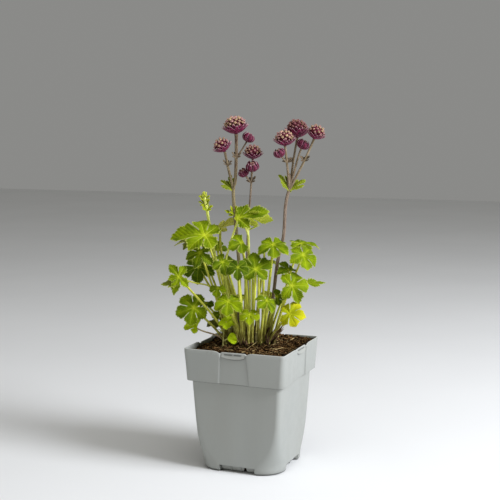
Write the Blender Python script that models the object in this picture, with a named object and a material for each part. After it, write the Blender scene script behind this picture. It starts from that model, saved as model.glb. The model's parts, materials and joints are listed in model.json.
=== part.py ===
"""A potted great masterwort: a clump of lobed leaves and three flower stems in a square nursery pot.

Lengths here are in millimetres, and MM turns them into metres where a mesh is made. The pot stands
on the ground with its axis on the Z axis. Plants are laid out across the view (to the viewer's
right), toward the viewer and above the ground, because that is how the plant's picture reads.
"""
import math
import random
from collections import namedtuple

import bpy
from mathutils import Matrix, Vector

MM = 0.001
VIEW_TURN = math.radians(21.5)

# The pot
POT_HALF = 55.0
POT_HEIGHT = 128.0
POT_WALL = 1.2
FLOOR_THICK = 1.4
COLLAR_BOTTOM = 94.5
NOTCH_HEIGHT = 6.0
NOTCH_DEPTH = 4.5
PANEL_DEPTH = 1.2
RIM_DIP = 2.0
RIM_SHOULDER = 7.0
TAB_HALF = 12.4
TAB_REACH = 13.0
TAB_DROP = 3.0
TAB_SAG = 4.0
TAB_PROUD = 1.1
TAB_STEPS = 5
TAB_ROOT = 0.5
DRAIN_WIDTH = 5.8
DRAIN_HEIGHT = 5.4
DRAIN_ASIDE = 7.8
DRAIN_TOP_SHARE = 0.22
DRAIN_REACH = 4.0
FLOOR_DRAIN_RADIUS = 4.0
FLOOR_DRAIN_PLACE = 22.0
FLOOR_DRAIN_SIDES = 6
CORNER_STEPS = 3
GAP = 0.3
UP = Vector((0, 0, 1))

# The compost
SOIL_LEVEL = 125.5
HOLE_DEPTH = 7.0
SOIL_ROUGHNESS = 0.9
SOIL_LIFT = 1.3
SOIL_SHARES = (1.0, 0.74, 0.42)
HOLE_SIDES = 4

# The plant
PETIOLE_RADIUS = 0.9
PETIOLE_TIP_RADIUS = 0.7
PETIOLE_PULL = 0.33
PETIOLE_LEAN = 0.8
PETIOLE_SINK = 0.25
PETIOLE_SIDES = 4
PETIOLE_STEPS = 4
BLADE_THICK = 0.75
HUB_THICK = 1.6
SINUS = 0.24
REAR_SINUS = 0.14
LEAF_BEND = (0.10, 0.32, 0.30)
BRACT_BEND = (0.0, 0.10, 0.30)
STEM_SIDES = 5
HEAD_SEAT = HUB_THICK / 2 + GAP
GREEN_STEMS = ("leaf_top_right", "shoot_left", "seedling")

Material = namedtuple("Material", "colour roughness")
MATERIALS = {
    "pot_plastic": Material((0.36, 0.38, 0.38), 0.55),
    "compost": Material((0.055, 0.030, 0.016), 0.95),
    "leaf_green": Material((0.20, 0.36, 0.03), 0.45),
    "stem_mauve": Material((0.26, 0.17, 0.13), 0.55),
    "shoot_green": Material((0.38, 0.47, 0.10), 0.5),
    "bract_burgundy": Material((0.22, 0.03, 0.09), 0.5),
    "floret_cream": Material((0.55, 0.42, 0.30), 0.6),
}

# A pot outline: height, half width, corner radius, the recess edge on each side and its depth
Ring = namedtuple("Ring", "height half radius edge recess dip")
BODY_RINGS = (
    Ring(0.0, 44.0, 23.4, 19.2, NOTCH_DEPTH, 0.0),
    Ring(NOTCH_HEIGHT, 45.0, 24.0, 19.6, NOTCH_DEPTH, 0.0),
    Ring(NOTCH_HEIGHT + 0.8, 45.0, 24.0, 19.6, 0.0, 0.0),
    Ring(30.0, 45.5, 9.8, 17.0, 0.0, 0.0),
    Ring(51.0, 46.4, 5.4, 16.0, 0.0, 0.0),
    Ring(COLLAR_BOTTOM, 48.9, 5.0, 16.0, 0.0, 0.0),
)
COLLAR_RINGS = (
    Ring(COLLAR_BOTTOM, 53.2, 5.5, 16.8, PANEL_DEPTH, 0.0),
    Ring(POT_HEIGHT, POT_HALF, 4.8, 14.6, PANEL_DEPTH, RIM_DIP),
)
# The inner recess edges lie farther out than the outer ones, so the wall is as thick there too
INNER_RINGS = (
    Ring(POT_HEIGHT, POT_HALF - POT_WALL, 3.6, 15.1, PANEL_DEPTH, RIM_DIP),
    Ring(COLLAR_BOTTOM + 3.0, 53.3 - POT_WALL, 4.3, 17.2, PANEL_DEPTH, 0.0),
    Ring(COLLAR_BOTTOM, 48.9 - POT_WALL, 3.8, 17.2, 0.0, 0.0),
    Ring(51.0, 46.4 - POT_WALL, 4.2, 17.0, 0.0, 0.0),
    Ring(30.0, 45.5 - POT_WALL, 8.6, 18.0, 0.0, 0.0),
    Ring(NOTCH_HEIGHT + 2.2, 45.0 - POT_WALL, 22.2, 20.6, 0.0, 0.0),
    Ring(NOTCH_HEIGHT + 1.2, 45.0 - POT_WALL, 22.2, 20.6, NOTCH_DEPTH, 0.0),
    Ring(FLOOR_THICK, 44.6 - POT_WALL, 22.4, 20.3, NOTCH_DEPTH, 0.0),
)

# The mounds and hollows of the compost: across, toward, spread and height
SOIL_SHAPES = (
    (-3.0, -8.0, 27.0, 6.0),
    (25.0, -25.0, 30.0, 2.0),
    (-58.0, -22.0, 15.0, -9.0),
    (-62.0, 18.0, 15.0, -6.0),
)

# A leaf: the joint of its lobes, the way its middle lobe points, the lobe's length and its foot
Leaf = namedtuple("Leaf", "node hub heading pitch roll span form foot")
# How a leaf is cut: the angle, length share and width share of each lobe, and how fine its edge is
FIVE_LOBES = ((-126, 0.80, 0.27), (-62, 0.96, 0.31), (0, 1.0, 0.32), (62, 0.96, 0.31), (126, 0.80, 0.27))
LONG_LOBES = ((-122, 0.54, 0.20), (-58, 0.74, 0.25), (0, 1.0, 0.30), (58, 0.74, 0.25), (122, 0.54, 0.20))
THREE_LOBES = ((-78, 0.88, 0.33), (0, 1.0, 0.36), (78, 0.88, 0.33))
BRACT_LOBES = ((-46, 0.70, 0.17), (0, 1.0, 0.25), (46, 0.70, 0.17))
TOOTHED_SIDE = ((0.42, 0.68), (0.62, 1.0), (0.68, 0.80), (0.86, 0.70))
PLAIN_SIDE = ((0.54, 0.96), (0.80, 0.80))
TOOTHED_RIB = (0.56,)
PLAIN_RIB = ()
Form = namedtuple("Form", "lobes side rib sinus")
FULL = Form(FIVE_LOBES, TOOTHED_SIDE, TOOTHED_RIB, SINUS)
LONG = Form(LONG_LOBES, TOOTHED_SIDE, TOOTHED_RIB, SINUS)
PLAIN = Form(FIVE_LOBES, PLAIN_SIDE, PLAIN_RIB, SINUS)
SMALL = Form(THREE_LOBES, PLAIN_SIDE, PLAIN_RIB, SINUS)
TOP = Form(((-58, 0.58, 0.18), (0, 1.0, 0.29), (56, 0.66, 0.20)), PLAIN_SIDE, PLAIN_RIB, SINUS)
BRACT = Form(BRACT_LOBES, ((0.62, 1.0),), (), 0.46)
ROUND = Form(((-42, 0.9, 0.38), (42, 0.9, 0.38)), ((0.5, 1.0), (0.86, 0.8)), (), 0.6)

# Headings turn left from the viewer's right: 90 points away from the viewer and 270 toward them
LEAVES = (
    Leaf("leaf_upper_left", (-49, 5, 241), 175, 12, 38, 34, LONG, (-23, -1)),
    Leaf("leaf_left_edge", (-59, -24, 230), 180, -4, 0, 26, PLAIN, (-24, -19)),
    Leaf("leaf_left_hanging", (-54, 8, 224), 235, -66, 12, 19, PLAIN, (-27, 3)),
    Leaf("leaf_far_left", (-76, 12, 199), 182, -8, 66, 19, PLAIN, (-25, 7)),
    Leaf("leaf_left_dark", (-57, -13, 206), 262, -50, 0, 19, PLAIN, (-18, -15)),
    Leaf("leaf_top_mauve", (-34, -11, 246), 8, 30, 40, 23, TOP, (-11, -10)),
    Leaf("leaf_centre_high", (-12, 9, 234), 205, -12, 55, 14, SMALL, (-9, 4)),
    Leaf("leaf_left_behind", (-37, -20, 223), 95, 20, 0, 13, SMALL, (-13, -19)),
    Leaf("leaf_right_high", (21, 12, 232), 270, -38, 0, 18, FULL, (12, 4)),
    Leaf("leaf_right_edge", (51, -16, 230), 2, -4, -12, 19, PLAIN, (26, -15)),
    Leaf("leaf_right_round", (52, 8, 221), 292, -52, 6, 18, FULL, (22, -2)),
    Leaf("leaf_centre_big", (3, 20, 208), 95, 60, 0, 19, PLAIN, (-1, 15)),
    Leaf("leaf_centre_left", (-31, 12, 214), 350, -12, -40, 15, PLAIN, (-16, 12)),
    Leaf("leaf_centre_dark", (-15, 28, 211), 270, -60, 0, 13, PLAIN, (-11, 20)),
    Leaf("leaf_right_low", (40, 20, 191), 12, -2, -62, 19, FULL, (22, 5)),
    Leaf("leaf_right_narrow", (37, 6, 205), 135, 38, 0, 14, SMALL, (18, -3)),
    Leaf("leaf_right_yellow", (38, 27, 163), 345, 12, -58, 16, FULL, (16, 14)),
    Leaf("leaf_front", (-3, 32, 163), 268, -40, 0, 12, PLAIN, (-5, 22)),
    Leaf("leaf_front_left", (-25, 25, 175), 268, -42, 0, 16, FULL, (-12, 18)),
    Leaf("leaf_front_right", (14, 26, 176), 310, -42, 0, 14, PLAIN, (8, 16)),
    Leaf("leaf_right_shade", (25, 11, 178), 20, 0, -70, 10, SMALL, (14, 0)),
    Leaf("leaf_low_left", (-61, 8, 166), 186, -14, 62, 20, FULL, (-28, 12)),
    Leaf("leaf_over_rim", (-60, -4, 143), 178, 8, 50, 13, SMALL, (-29, -3)),
    Leaf("leaf_small_left", (-36, 17, 188), 262, -60, 0, 10, SMALL, (-22, 8)),
    Leaf("leaf_left_shade", (-49, -11, 167), 245, -48, 0, 11, SMALL, (-20, -10)),
    Leaf("leaf_mauve_low", (-38, -12, 147), 185, -12, 20, 11, SMALL, (-19, -14)),
    Leaf("leaf_left_inner", (-33, -4, 159), 200, -22, 64, 11, SMALL, (-25, -5)),
    Leaf("leaf_back_left", (-29, -36, 208), 110, -10, 0, 18, PLAIN, (-9, -22)),
    Leaf("leaf_back_right", (12, -38, 209), 75, -10, 0, 18, PLAIN, (3, -22)),
    Leaf("leaf_back_low_right", (20, -34, 174), 60, -16, 0, 17, PLAIN, (12, -17)),
    Leaf("leaf_back_low_left", (-20, -38, 170), 120, -16, 0, 17, PLAIN, (-4, -17)),
)

# A flower head: its seat, the way its axis leans (heading and angle from upright) and its radius
Head = namedtuple("Head", "node seat heading lean radius")
OPEN_HEADS = (
    Head("head_a", (-17, 0, 346), 180, 8, 12.7),
    Head("head_b", (-29, 2, 326), 190, 30, 9.6),
    Head("head_d", (0, -8, 320), 280, 8, 10.0),
    Head("head_g", (33, 5, 334), 250, 10, 11.0),
    Head("head_h", (46, -10, 342), 100, 6, 13.0),
    Head("head_i", (63, 3, 341), 330, 22, 9.8),
)
CLOSED_HEADS = (
    Head("bud_c", (-6, -4, 338), 10, 25, 6.0),
    Head("bud_e", (0, 2, 309), 265, 35, 6.2),
    Head("bud_f", (-8, -2, 303), 225, 36, 5.2),
    Head("bud_j", (50, 1, 331), 340, 25, 6.2),
    Head("bud_k", (29, 9, 323), 215, 34, 5.6),
)
BRACT_COUNT = 12
BRACT_THICK = 0.9
BRACT_WIDTH = 0.145
BRACT_SHORTER = 0.07
BOWL = Form(
    tuple(
        (360 * number / BRACT_COUNT, 1.0 - BRACT_SHORTER * (number % 2), BRACT_WIDTH)
        for number in range(BRACT_COUNT)
    ),
    ((0.64, 1.0),), (0.55,), 0.42,
)
BOWL_BEND = (0.16, -0.20, 0.25)
FLORETS_ROUND = 11
FLORET_DOME = ((0.18, 0.05), (0.66, 0.32), (0.80, 0.64), (0.72, 0.98), (0.42, 1.24))
FLORET_CROWN = 1.36
FLORET_CENTRE = 0.60
FLORET_RISE = 0.15
BUD_RINGS = ((0.0, 0.22, 0.22), (0.25, 0.72, 0.66), (0.85, 1.0, 0.86), (1.35, 0.82, 0.68), (1.7, 0.5, 0.46))
BUD_RIBS = 7
BUD_TOOTH = 0.22
SCALE_WAIST = 0.5
SCALE_DEPTH = 0.45

# A branch: its radius, then points across, toward and above the ground. A first point of two
# numbers stands in the compost, and a head's name ends the branch under that head.
Branch = namedtuple("Branch", "radius points")
# Lobed bracts at a joint: its place, the heading, pitch and roll of each, their length and form
Bracts = namedtuple("Bracts", "hub ways span form")
# Short pointed scales at a joint: its place, the heading and pitch of each, their length and width
Scales = namedtuple("Scales", "hub ways span wide")
STEMS = {
    "flower_stem_left": (
        (
            Branch(1.7, ((-15, -3), (-14, -3, 202), (-19, 0, 267), (-20, 0, 289), (-18, 0, 298),
                         (-17, 0, 322), "head_a")),
            Branch(1.3, ((-20, 0, 288), (-26, 1, 314), "head_b")),
            Branch(0.8, ((-17, 0, 322), (-12, -2, 328), "bud_c")),
        ),
        (
            Bracts((-21, 0, 288), ((175, 32, 40), (140, 66, 70)), 15, BRACT),
            Scales((-20, 0, 287), ((10, 70),), 12, 0.22),
            Scales((-19, 0, 263), ((170, 8), (195, 45), (345, 62)), 9, 0.26),
            Scales((-26, 1, 314), ((170, 32), (10, 32)), 6, 0.20),
            Scales((-17, 0, 322), ((190, 32), (10, 32)), 7, 0.20),
        ),
    ),
    "flower_stem_middle": (
        (
            Branch(1.0, ((-4, -11), (-6, -14, 202), (-5, -14, 247), (-2, -9, 287), (-1, -8, 307), "head_d")),
            Branch(0.8, ((-2, -8, 296), (-1, -4, 302), "bud_e")),
            Branch(0.8, ((-2, -8, 295), (-5, -5, 299), "bud_f")),
        ),
        (Scales((-2, -8, 296), ((175, 32), (5, 32)), 7, 0.20),),
    ),
    "flower_stem_right": (
        (
            Branch(1.7, ((14, -9), (21, -5, 172), (26, -2, 213), (32, 0, 240), (34, 0, 272), (38, 0, 290))),
            Branch(1.3, ((38, 0, 288), (35, 4, 317), "head_g")),
            Branch(1.3, ((38, 0, 288), (42, -6, 317), "head_h")),
            Branch(1.2, ((38, 0, 288), (46, 0, 319), "bud_j")),
            Branch(1.3, ((38, 0, 288), (53, 2, 318), "head_i")),
            Branch(0.8, ((35, 4, 316), "bud_k")),
        ),
        (
            Bracts((38, 0, 288), ((180, 62, 60), (5, 28, -50)), 20, BRACT),
            Scales((38, 1, 288), ((270, 84),), 17, 0.20),
            Scales((35, 4, 317), ((170, 32), (20, 32)), 7, 0.20),
            Scales((42, -6, 317), ((190, 32),), 6, 0.20),
            Scales((53, 2, 318), ((190, 32), (5, 32)), 7, 0.20),
        ),
    ),
    "leaf_top_right": (
        (
            Branch(1.3, ((-3, 0), (-3, 0, 193), (-4, 0, 225), (-5, 0, 247), (-5, 0, 261))),
            Branch(0.9, ((-4, 0, 238), (-8, 4, 250), (-15, 6, 259))),
        ),
        (
            Bracts((-5, 0, 260), ((4, -12, 42),), 27, TOP),
            Bracts((-15, 6, 259), ((355, 16, -42),), 31, TOP),
            Scales((-5, 0, 246), ((8, 12), (150, 20)), 13, 0.20),
        ),
    ),
    "shoot_left": (
        (
            Branch(1.3, ((-19, -6), (-30, -7, 187), (-39, -8, 216), (-43, -12, 238), (-46, -12, 254),
                         (-48, -2, 272), (-50, -1, 284))),
        ),
        (
            Scales((-48, -2, 270), ((10, 35), (190, 50)), 9, 0.26),
            Scales((-49, -2, 276), ((345, 38), (170, 15)), 9, 0.26),
            Scales((-50, -1, 281), ((160, 60), (270, 50)), 8, 0.26),
        ),
    ),
    "seedling": (
        (
            Branch(0.7, ((-31, 17), (-30, 17, 142), (-27, 17, 153))),
            Branch(0.7, ((-31, 17, 132), (-28, 17, 134), (-25, 17, 135))),
        ),
        (
            Bracts((-25, 17, 135), ((335, 30, 0),), 8, ROUND),
            Bracts((-27, 17, 152), ((265, -40, 0),), 8, SMALL),
            Scales((-30, 17, 142), ((200, 20),), 7, 0.34),
        ),
    ),
    "old_stalk": (
        (Branch(2.0, ((4, 6), (4, 7, 132), (5, 7, 139))),),
        (),
    ),
}


def remove_objects():
    """Leaves the scene empty."""
    for obj in list(bpy.data.objects):
        bpy.data.objects.remove(obj, do_unlink=True)


def material(name):
    """A plain Principled material, made once."""
    found = bpy.data.materials.get(name)
    if found:
        return found
    made = bpy.data.materials.new(name)
    made.use_nodes = True
    shader = made.node_tree.nodes["Principled BSDF"]
    shader.inputs["Base Color"].default_value = (*MATERIALS[name].colour, 1.0)
    shader.inputs["Roughness"].default_value = MATERIALS[name].roughness
    shader.inputs["Metallic"].default_value = 0.0
    return made


def mesh_object(name, solid, material_name, smooth_angle=40.0):
    """An object in the scene from points in millimetres and faces."""
    points, faces = solid
    mesh = bpy.data.meshes.new(name)
    mesh.from_pydata([tuple(Vector(point) * MM) for point in points], [], faces)
    mesh.materials.append(material(material_name))
    mesh.shade_smooth()
    mesh.set_sharp_from_angle(angle=math.radians(smooth_angle))
    obj = bpy.data.objects.new(name, mesh)
    bpy.context.scene.collection.objects.link(obj)
    return obj


def apply_boolean(obj, operation, solids, solver="EXACT"):
    """Joins solids to an object, or cuts them from it, and keeps the result in its own mesh."""
    helpers = bpy.data.collections.new("helpers")
    for solid in solids:
        helper = mesh_object("helper", solid, obj.data.materials[0].name)
        bpy.context.scene.collection.objects.unlink(helper)
        helpers.objects.link(helper)
    modifier = obj.modifiers.new("join", "BOOLEAN")
    modifier.operation = operation
    modifier.operand_type = "COLLECTION"
    modifier.collection = helpers
    modifier.solver = solver
    shape = bpy.data.meshes.new_from_object(obj.evaluated_get(bpy.context.evaluated_depsgraph_get()))
    obj.modifiers.clear()
    obj.data = shape
    for helper in list(helpers.objects):
        bpy.data.objects.remove(helper, do_unlink=True)
    bpy.data.collections.remove(helpers)
    return obj


def fused(name, solids, material_name):
    """One node from solids that run into each other.

    The exact solver loses some of these thin folded blades, so the manifold one joins them.
    """
    obj = mesh_object(name, solids[0], material_name)
    if len(solids) > 1:
        apply_boolean(obj, "UNION", solids[1:], "MANIFOLD")
    return obj


def place(across, toward, height):
    """The point at this place across the view, toward the viewer and above the ground."""
    turned_x = across * math.cos(VIEW_TURN) + toward * math.sin(VIEW_TURN)
    turned_y = across * math.sin(VIEW_TURN) - toward * math.cos(VIEW_TURN)
    return Vector((turned_x, turned_y, height))


def direction(heading, pitch):
    """The unit vector at this heading, raised by this pitch, both in degrees."""
    heading, pitch = math.radians(heading), math.radians(pitch)
    flat = math.cos(pitch)
    return place(flat * math.cos(heading), -flat * math.sin(heading), math.sin(pitch))


def leaf_axes(heading, pitch, roll):
    """A blade's own axes: along its middle lobe, to its left side and out of its upper face."""
    along = direction(heading, pitch)
    left = UP.cross(along).normalized()
    upper = along.cross(left)
    turn = math.radians(roll)
    upper = upper * math.cos(turn) + left * math.sin(turn)
    return along, upper.cross(along), upper


def outline(ring, inset=0.0, rim=True):
    """The points of a pot outline, side by side round the pot, each side with its recess.

    With rim, each side also has the points where the rim starts to dip and where its tab begins.
    """
    half = ring.half - inset
    radius = ring.radius - inset
    edge = ring.edge + inset
    shoulder = min(edge + RIM_SHOULDER, half - radius - GAP)
    stops = ((-edge, 0, 1), (-edge + POT_WALL, 1, 1))
    if rim:
        stops = ((-shoulder, 0, 0),) + stops + ((-TAB_HALF, 1, 0),)
    mirrored = tuple((-across, deep, low) for across, deep, low in reversed(stops))
    points = []
    for side in range(4):
        turn = Matrix.Rotation(side * math.pi / 2, 3, "Z")
        for across, deep, low in stops + mirrored:
            point = Vector((across, -half + deep * ring.recess, ring.height - low * ring.dip))
            points.append(turn @ point)
        centre = Vector((half - radius, radius - half, ring.height))
        for step in range(CORNER_STEPS + 1):
            angle = -math.pi / 2 + step * math.pi / 2 / CORNER_STEPS
            arc = Vector((radius * math.cos(angle), radius * math.sin(angle), 0))
            points.append(turn @ (centre + arc))
    return points


def skin(rings, first_cap, last_cap):
    """A closed solid through outlines of equal length, with a flat fan at each end."""
    count = len(rings[0])
    points = [point for ring in rings for point in ring]
    faces = []
    for level in range(len(rings) - 1):
        low = level * count
        for step in range(count):
            after = (step + 1) % count
            corners = (low + step, low + after, low + count + after, low + count + step)
            faces.append((corners[0], corners[1], corners[2]))
            faces.append((corners[0], corners[2], corners[3]))
    points += [first_cap, last_cap]
    last = (len(rings) - 1) * count
    for step in range(count):
        after = (step + 1) % count
        faces.append((after, step, len(points) - 2))
        faces.append((last + step, last + after, len(points) - 1))
    return points, faces


def prism(profile, near, far):
    """A profile of points across and up, run along -Y from near to far."""
    count = len(profile)
    points = [Vector((x, -near, z)) for x, z in profile] + [Vector((x, -far, z)) for x, z in profile]
    faces = [tuple(range(count)), tuple(reversed(range(count, 2 * count)))]
    for step in range(count):
        after = (step + 1) % count
        faces.append((after, step, step + count, after + count))
    return points, [tuple(reversed(face)) for face in faces]


def round_the_pot(solid):
    """The same solid on each of the pot's four sides."""
    points, faces = solid
    copies = []
    for side in range(4):
        turn = Matrix.Rotation(side * math.pi / 2, 3, "Z")
        copies.append(([turn @ point for point in points], faces))
    return copies


def make_pot():
    """The square pot: tapered body, collar with a recessed panel on each side, feet and drains."""
    rings = [outline(ring) for ring in BODY_RINGS + COLLAR_RINGS + INNER_RINGS]
    pot = mesh_object("pot", skin(rings, Vector((0, 0, 0)), Vector((0, 0, FLOOR_THICK))), "pot_plastic")

    top = POT_HEIGHT - GAP
    bow = [math.pi * step / TAB_STEPS for step in range(TAB_STEPS + 1)]
    low = POT_HEIGHT - TAB_DROP
    lens = [(TAB_REACH * math.cos(turn), low - TAB_SAG * math.sin(turn)) for turn in bow]
    lens = [(TAB_HALF, top)] + lens + [(-TAB_HALF, top)]
    face = POT_HALF - PANEL_DEPTH
    tab = prism(lens[::-1], face - TAB_ROOT, face + TAB_PROUD)
    apply_boolean(pot, "UNION", round_the_pot(tab), "MANIFOLD")

    half = DRAIN_WIDTH / 2
    low, high = -FLOOR_THICK, DRAIN_HEIGHT
    arch = [(DRAIN_ASIDE - half, low), (DRAIN_ASIDE + half, low)]
    arch += [(DRAIN_ASIDE + half * DRAIN_TOP_SHARE, high), (DRAIN_ASIDE - half * DRAIN_TOP_SHARE, high)]
    wall = BODY_RINGS[0].half - NOTCH_DEPTH
    drain = prism(arch, wall - DRAIN_REACH, wall + DRAIN_REACH)
    apply_boolean(pot, "DIFFERENCE", round_the_pot(drain), "MANIFOLD")

    turns = [2 * math.pi * step / FLOOR_DRAIN_SIDES for step in range(FLOOR_DRAIN_SIDES)]
    middle = Vector((FLOOR_DRAIN_PLACE, 0, 0))
    ring = [middle + Vector((math.cos(turn), math.sin(turn), 0)) * FLOOR_DRAIN_RADIUS for turn in turns]
    below, above = UP * -FLOOR_THICK, UP * 2 * FLOOR_THICK
    rings = [[point + below for point in ring], [point + above for point in ring]]
    hole = skin(rings, middle + below, middle + above)
    apply_boolean(pot, "DIFFERENCE", round_the_pot(hole), "MANIFOLD")
    return pot


def soil_height(point):
    """The compost's height at a point, from its mounds and hollows."""
    across = point.x * math.cos(VIEW_TURN) + point.y * math.sin(VIEW_TURN)
    toward = point.x * math.sin(VIEW_TURN) - point.y * math.cos(VIEW_TURN)
    height = SOIL_LEVEL
    for mound_across, mound_toward, spread, rise in SOIL_SHAPES:
        away = math.hypot(across - mound_across, toward - mound_toward)
        height += rise * math.exp(-((away / spread) ** 2))
    return height


def soil_at(foot):
    """The compost's height at a leaf's or stem's foot."""
    return soil_height(place(foot[0], foot[1], 0))


def make_soil(feet):
    """The compost: it fills the pot to just inside its wall, with a plain hole for each stem."""
    draw = random.Random(11)
    top, below_top = (outline(ring, GAP, rim=False) for ring in INNER_RINGS[:2])
    edge = []
    for high, low in zip(top, below_top):
        edge.append(low.lerp(high, (soil_height(high) - low.z) / (high.z - low.z)))
    rings = []
    for ring in reversed(INNER_RINGS[1:]):
        lift = GAP if ring.height == FLOOR_THICK else SOIL_LIFT
        rings.append([point + UP * lift for point in outline(ring, GAP, rim=False)])
    for share in SOIL_SHARES:
        ring = []
        for point in edge:
            inward = Vector((point.x * share, point.y * share, 0))
            rough = draw.uniform(-SOIL_ROUGHNESS, SOIL_ROUGHNESS) if share < 1 else 0
            ring.append(inward + UP * (soil_height(inward) + rough))
        rings.append(ring)
    peak = Vector((0, 0, soil_height(Vector((0, 0, 0)))))
    base = Vector((0, 0, FLOOR_THICK + GAP))
    soil = mesh_object("soil", skin(rings, base, peak), "compost", 60.0)
    holes = []
    for across, toward, radius in feet:
        centre = place(across, toward, soil_at((across, toward)))
        size = (radius + GAP) * math.sqrt(2)
        low = centre - UP * HOLE_DEPTH
        high = centre + UP * HOLE_DEPTH
        turns = [2 * math.pi * (step + 0.5) / HOLE_SIDES for step in range(HOLE_SIDES)]
        rim = [Vector((size * math.cos(turn), size * math.sin(turn), 0)) for turn in turns]
        holes.append(skin([[low + point for point in rim], [high + point for point in rim]], low, high))
    return apply_boolean(soil, "DIFFERENCE", holes, "MANIFOLD")


def tube(path, radii, sides):
    """A closed round bar along a path, with the given radius at each point."""
    ahead = (path[1] - path[0]).normalized()
    across = ahead.orthogonal().normalized()
    rings = []
    for number, (point, radius) in enumerate(zip(path, radii)):
        before = path[max(number - 1, 0)]
        after = path[min(number + 1, len(path) - 1)]
        along = (after - before).normalized()
        across = (across - along * across.dot(along)).normalized()
        beside = along.cross(across)
        turns = [2 * math.pi * side / sides for side in range(sides)]
        rings.append([point + (across * math.cos(t) + beside * math.sin(t)) * radius for t in turns])
    return skin(rings, path[0], path[-1])


def curve_through(points, steps):
    """A smooth curve through points, with this many steps between each two."""
    path = []
    for number in range(len(points) - 1):
        a = points[max(number - 1, 0)]
        b, c = points[number], points[number + 1]
        d = points[min(number + 2, len(points) - 1)]
        for step in range(steps):
            t = step / steps
            bend = b * 2 + (c - a) * t + (a * 2 - b * 5 + c * 4 - d) * t ** 2
            path.append((bend + (b * 3 - a - c * 3 + d) * t ** 3) / 2)
    path.append(points[-1])
    return path


def bend_between(start, start_pull, end_pull, end, steps):
    """A curve from start to end that sets out along one pull and arrives along the other."""
    path = []
    for step in range(steps + 1):
        t = step / steps
        rest = 1 - t
        path.append(
            start * rest ** 3 + (start + start_pull) * 3 * rest ** 2 * t
            + (end - end_pull) * 3 * rest * t ** 2 + end * t ** 3
        )
    return path


def strip(inner, outer, forward):
    """Triangles between a rib and an edge, each a list of (point number, share of the lobe)."""
    faces = []
    i = j = 0
    while i < len(inner) - 1 or j < len(outer) - 1:
        inner_next = inner[i + 1][1] if i < len(inner) - 1 else 2.0
        outer_next = outer[j + 1][1] if j < len(outer) - 1 else 2.0
        if inner_next <= outer_next:
            face = (inner[i][0], inner[i + 1][0], outer[j][0])
            i += 1
        else:
            face = (inner[i][0], outer[j + 1][0], outer[j][0])
            j += 1
        faces.append(face if forward else face[::-1])
    return faces


def lobed_blade(hub, axes, span, form, bend, seed, thick=BLADE_THICK):
    """A thin solid cut into lobes round a hub, bent as one blade with a fold along each rib.

    bend holds the slope of the lobes, how far their tips come down or up, and the depth of the
    fold. Both faces have the same triangles, so the blade is equally thick all over.
    """
    along, left, upper = axes
    rise, droop, fold = bend
    draw = random.Random(seed)
    surface = [(0.0, 0.0, 0.0)]
    half_thick = [HUB_THICK / 2]
    faces, border = [], []

    def add(x, y, lateral, sway):
        away = math.hypot(x, y)
        height = rise * away - (droop + sway) * away * away / span + fold * abs(lateral)
        surface.append((x, y, height))
        half_thick.append(thick / 2)
        return len(surface) - 1

    lobes = [(math.radians(angle), length * span, width * span) for angle, length, width in form.lobes]
    gaps = []
    for number, (angle, length, _) in enumerate(lobes):
        after_angle, after_length, _ = lobes[(number + 1) % len(lobes)]
        opening = (after_angle - angle) % (2 * math.pi)
        share = form.sinus if opening < math.radians(90) else REAR_SINUS
        away = share * min(length, after_length)
        middle = angle + opening / 2
        gaps.append(add(away * math.cos(middle), away * math.sin(middle), away * math.sin(opening / 2), 0))
    for number, (angle, length, width) in enumerate(lobes):
        sway = draw.uniform(-0.10, 0.14)
        cos, sin = math.cos(angle), math.sin(angle)
        rib = [(0, 0.0)]
        for share in form.rib:
            rib.append((add(length * share * cos, length * share * sin, 0, sway), share))
        tip = (add(length * cos, length * sin, 0, sway), 1.0)
        edges = []
        for hand, gap in ((-1, gaps[number - 1]), (1, gaps[number])):
            edge = [(gap, form.sinus)]
            for share, wide in form.side:
                away, lateral = length * share, hand * width * wide
                x, y = away * cos - lateral * sin, away * sin + lateral * cos
                edge.append((add(x, y, lateral, sway), share))
            edge.append(tip)
            faces += strip(rib, edge, hand > 0)
            edges.append([point for point, _ in edge])
        border += edges[0] + edges[1][-2:0:-1]
    count = len(surface)
    points = []
    for side in (1, -1):
        for (x, y, height), half in zip(surface, half_thick):
            points.append(hub + along * x + left * y + upper * (height + side * half))
    solid = list(faces)
    solid += [(c + count, b + count, a + count) for a, b, c in faces]
    for number, point in enumerate(border):
        after = border[(number + 1) % len(border)]
        solid.append((after, point, point + count))
        solid.append((after, point + count, after + count))
    return points, solid


def petiole(leaf):
    """The leaf's stalk: it leaves the compost nearly upright and bends over to the blade's hub."""
    hub = place(*leaf.hub)
    along, _, upper = leaf_axes(leaf.heading, leaf.pitch, leaf.roll)
    ground = place(leaf.foot[0], leaf.foot[1], soil_at(leaf.foot))
    foot = ground - UP * (HOLE_DEPTH - GAP)
    reach = (hub - ground).length
    straight = (hub - ground) / reach
    leave = (straight + UP).normalized() * reach * PETIOLE_PULL
    arrive = (straight * 2 + UP + along * PETIOLE_LEAN).normalized() * reach * PETIOLE_PULL
    path = [foot] + bend_between(ground, leave, arrive, hub - upper * PETIOLE_SINK, PETIOLE_STEPS)
    radii = [PETIOLE_RADIUS] * (len(path) - 1) + [PETIOLE_TIP_RADIUS]
    return tube(path, radii, PETIOLE_SIDES)


def make_leaf(leaf):
    """A leaf with its lobed blade on its stalk."""
    axes = leaf_axes(leaf.heading, leaf.pitch, leaf.roll)
    blade = lobed_blade(place(*leaf.hub), axes, leaf.span, leaf.form, LEAF_BEND, leaf.node)
    return fused(leaf.node, [petiole(leaf), blade], "leaf_green")


def head_axis(head):
    """The upward axis of a flower head."""
    return direction(head.heading, 90 - head.lean)


def head_axes(head):
    """A head's own axes: two across it and one up it."""
    upward = head_axis(head)
    along = upward.orthogonal().normalized()
    return along, upward.cross(along), upward


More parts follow.
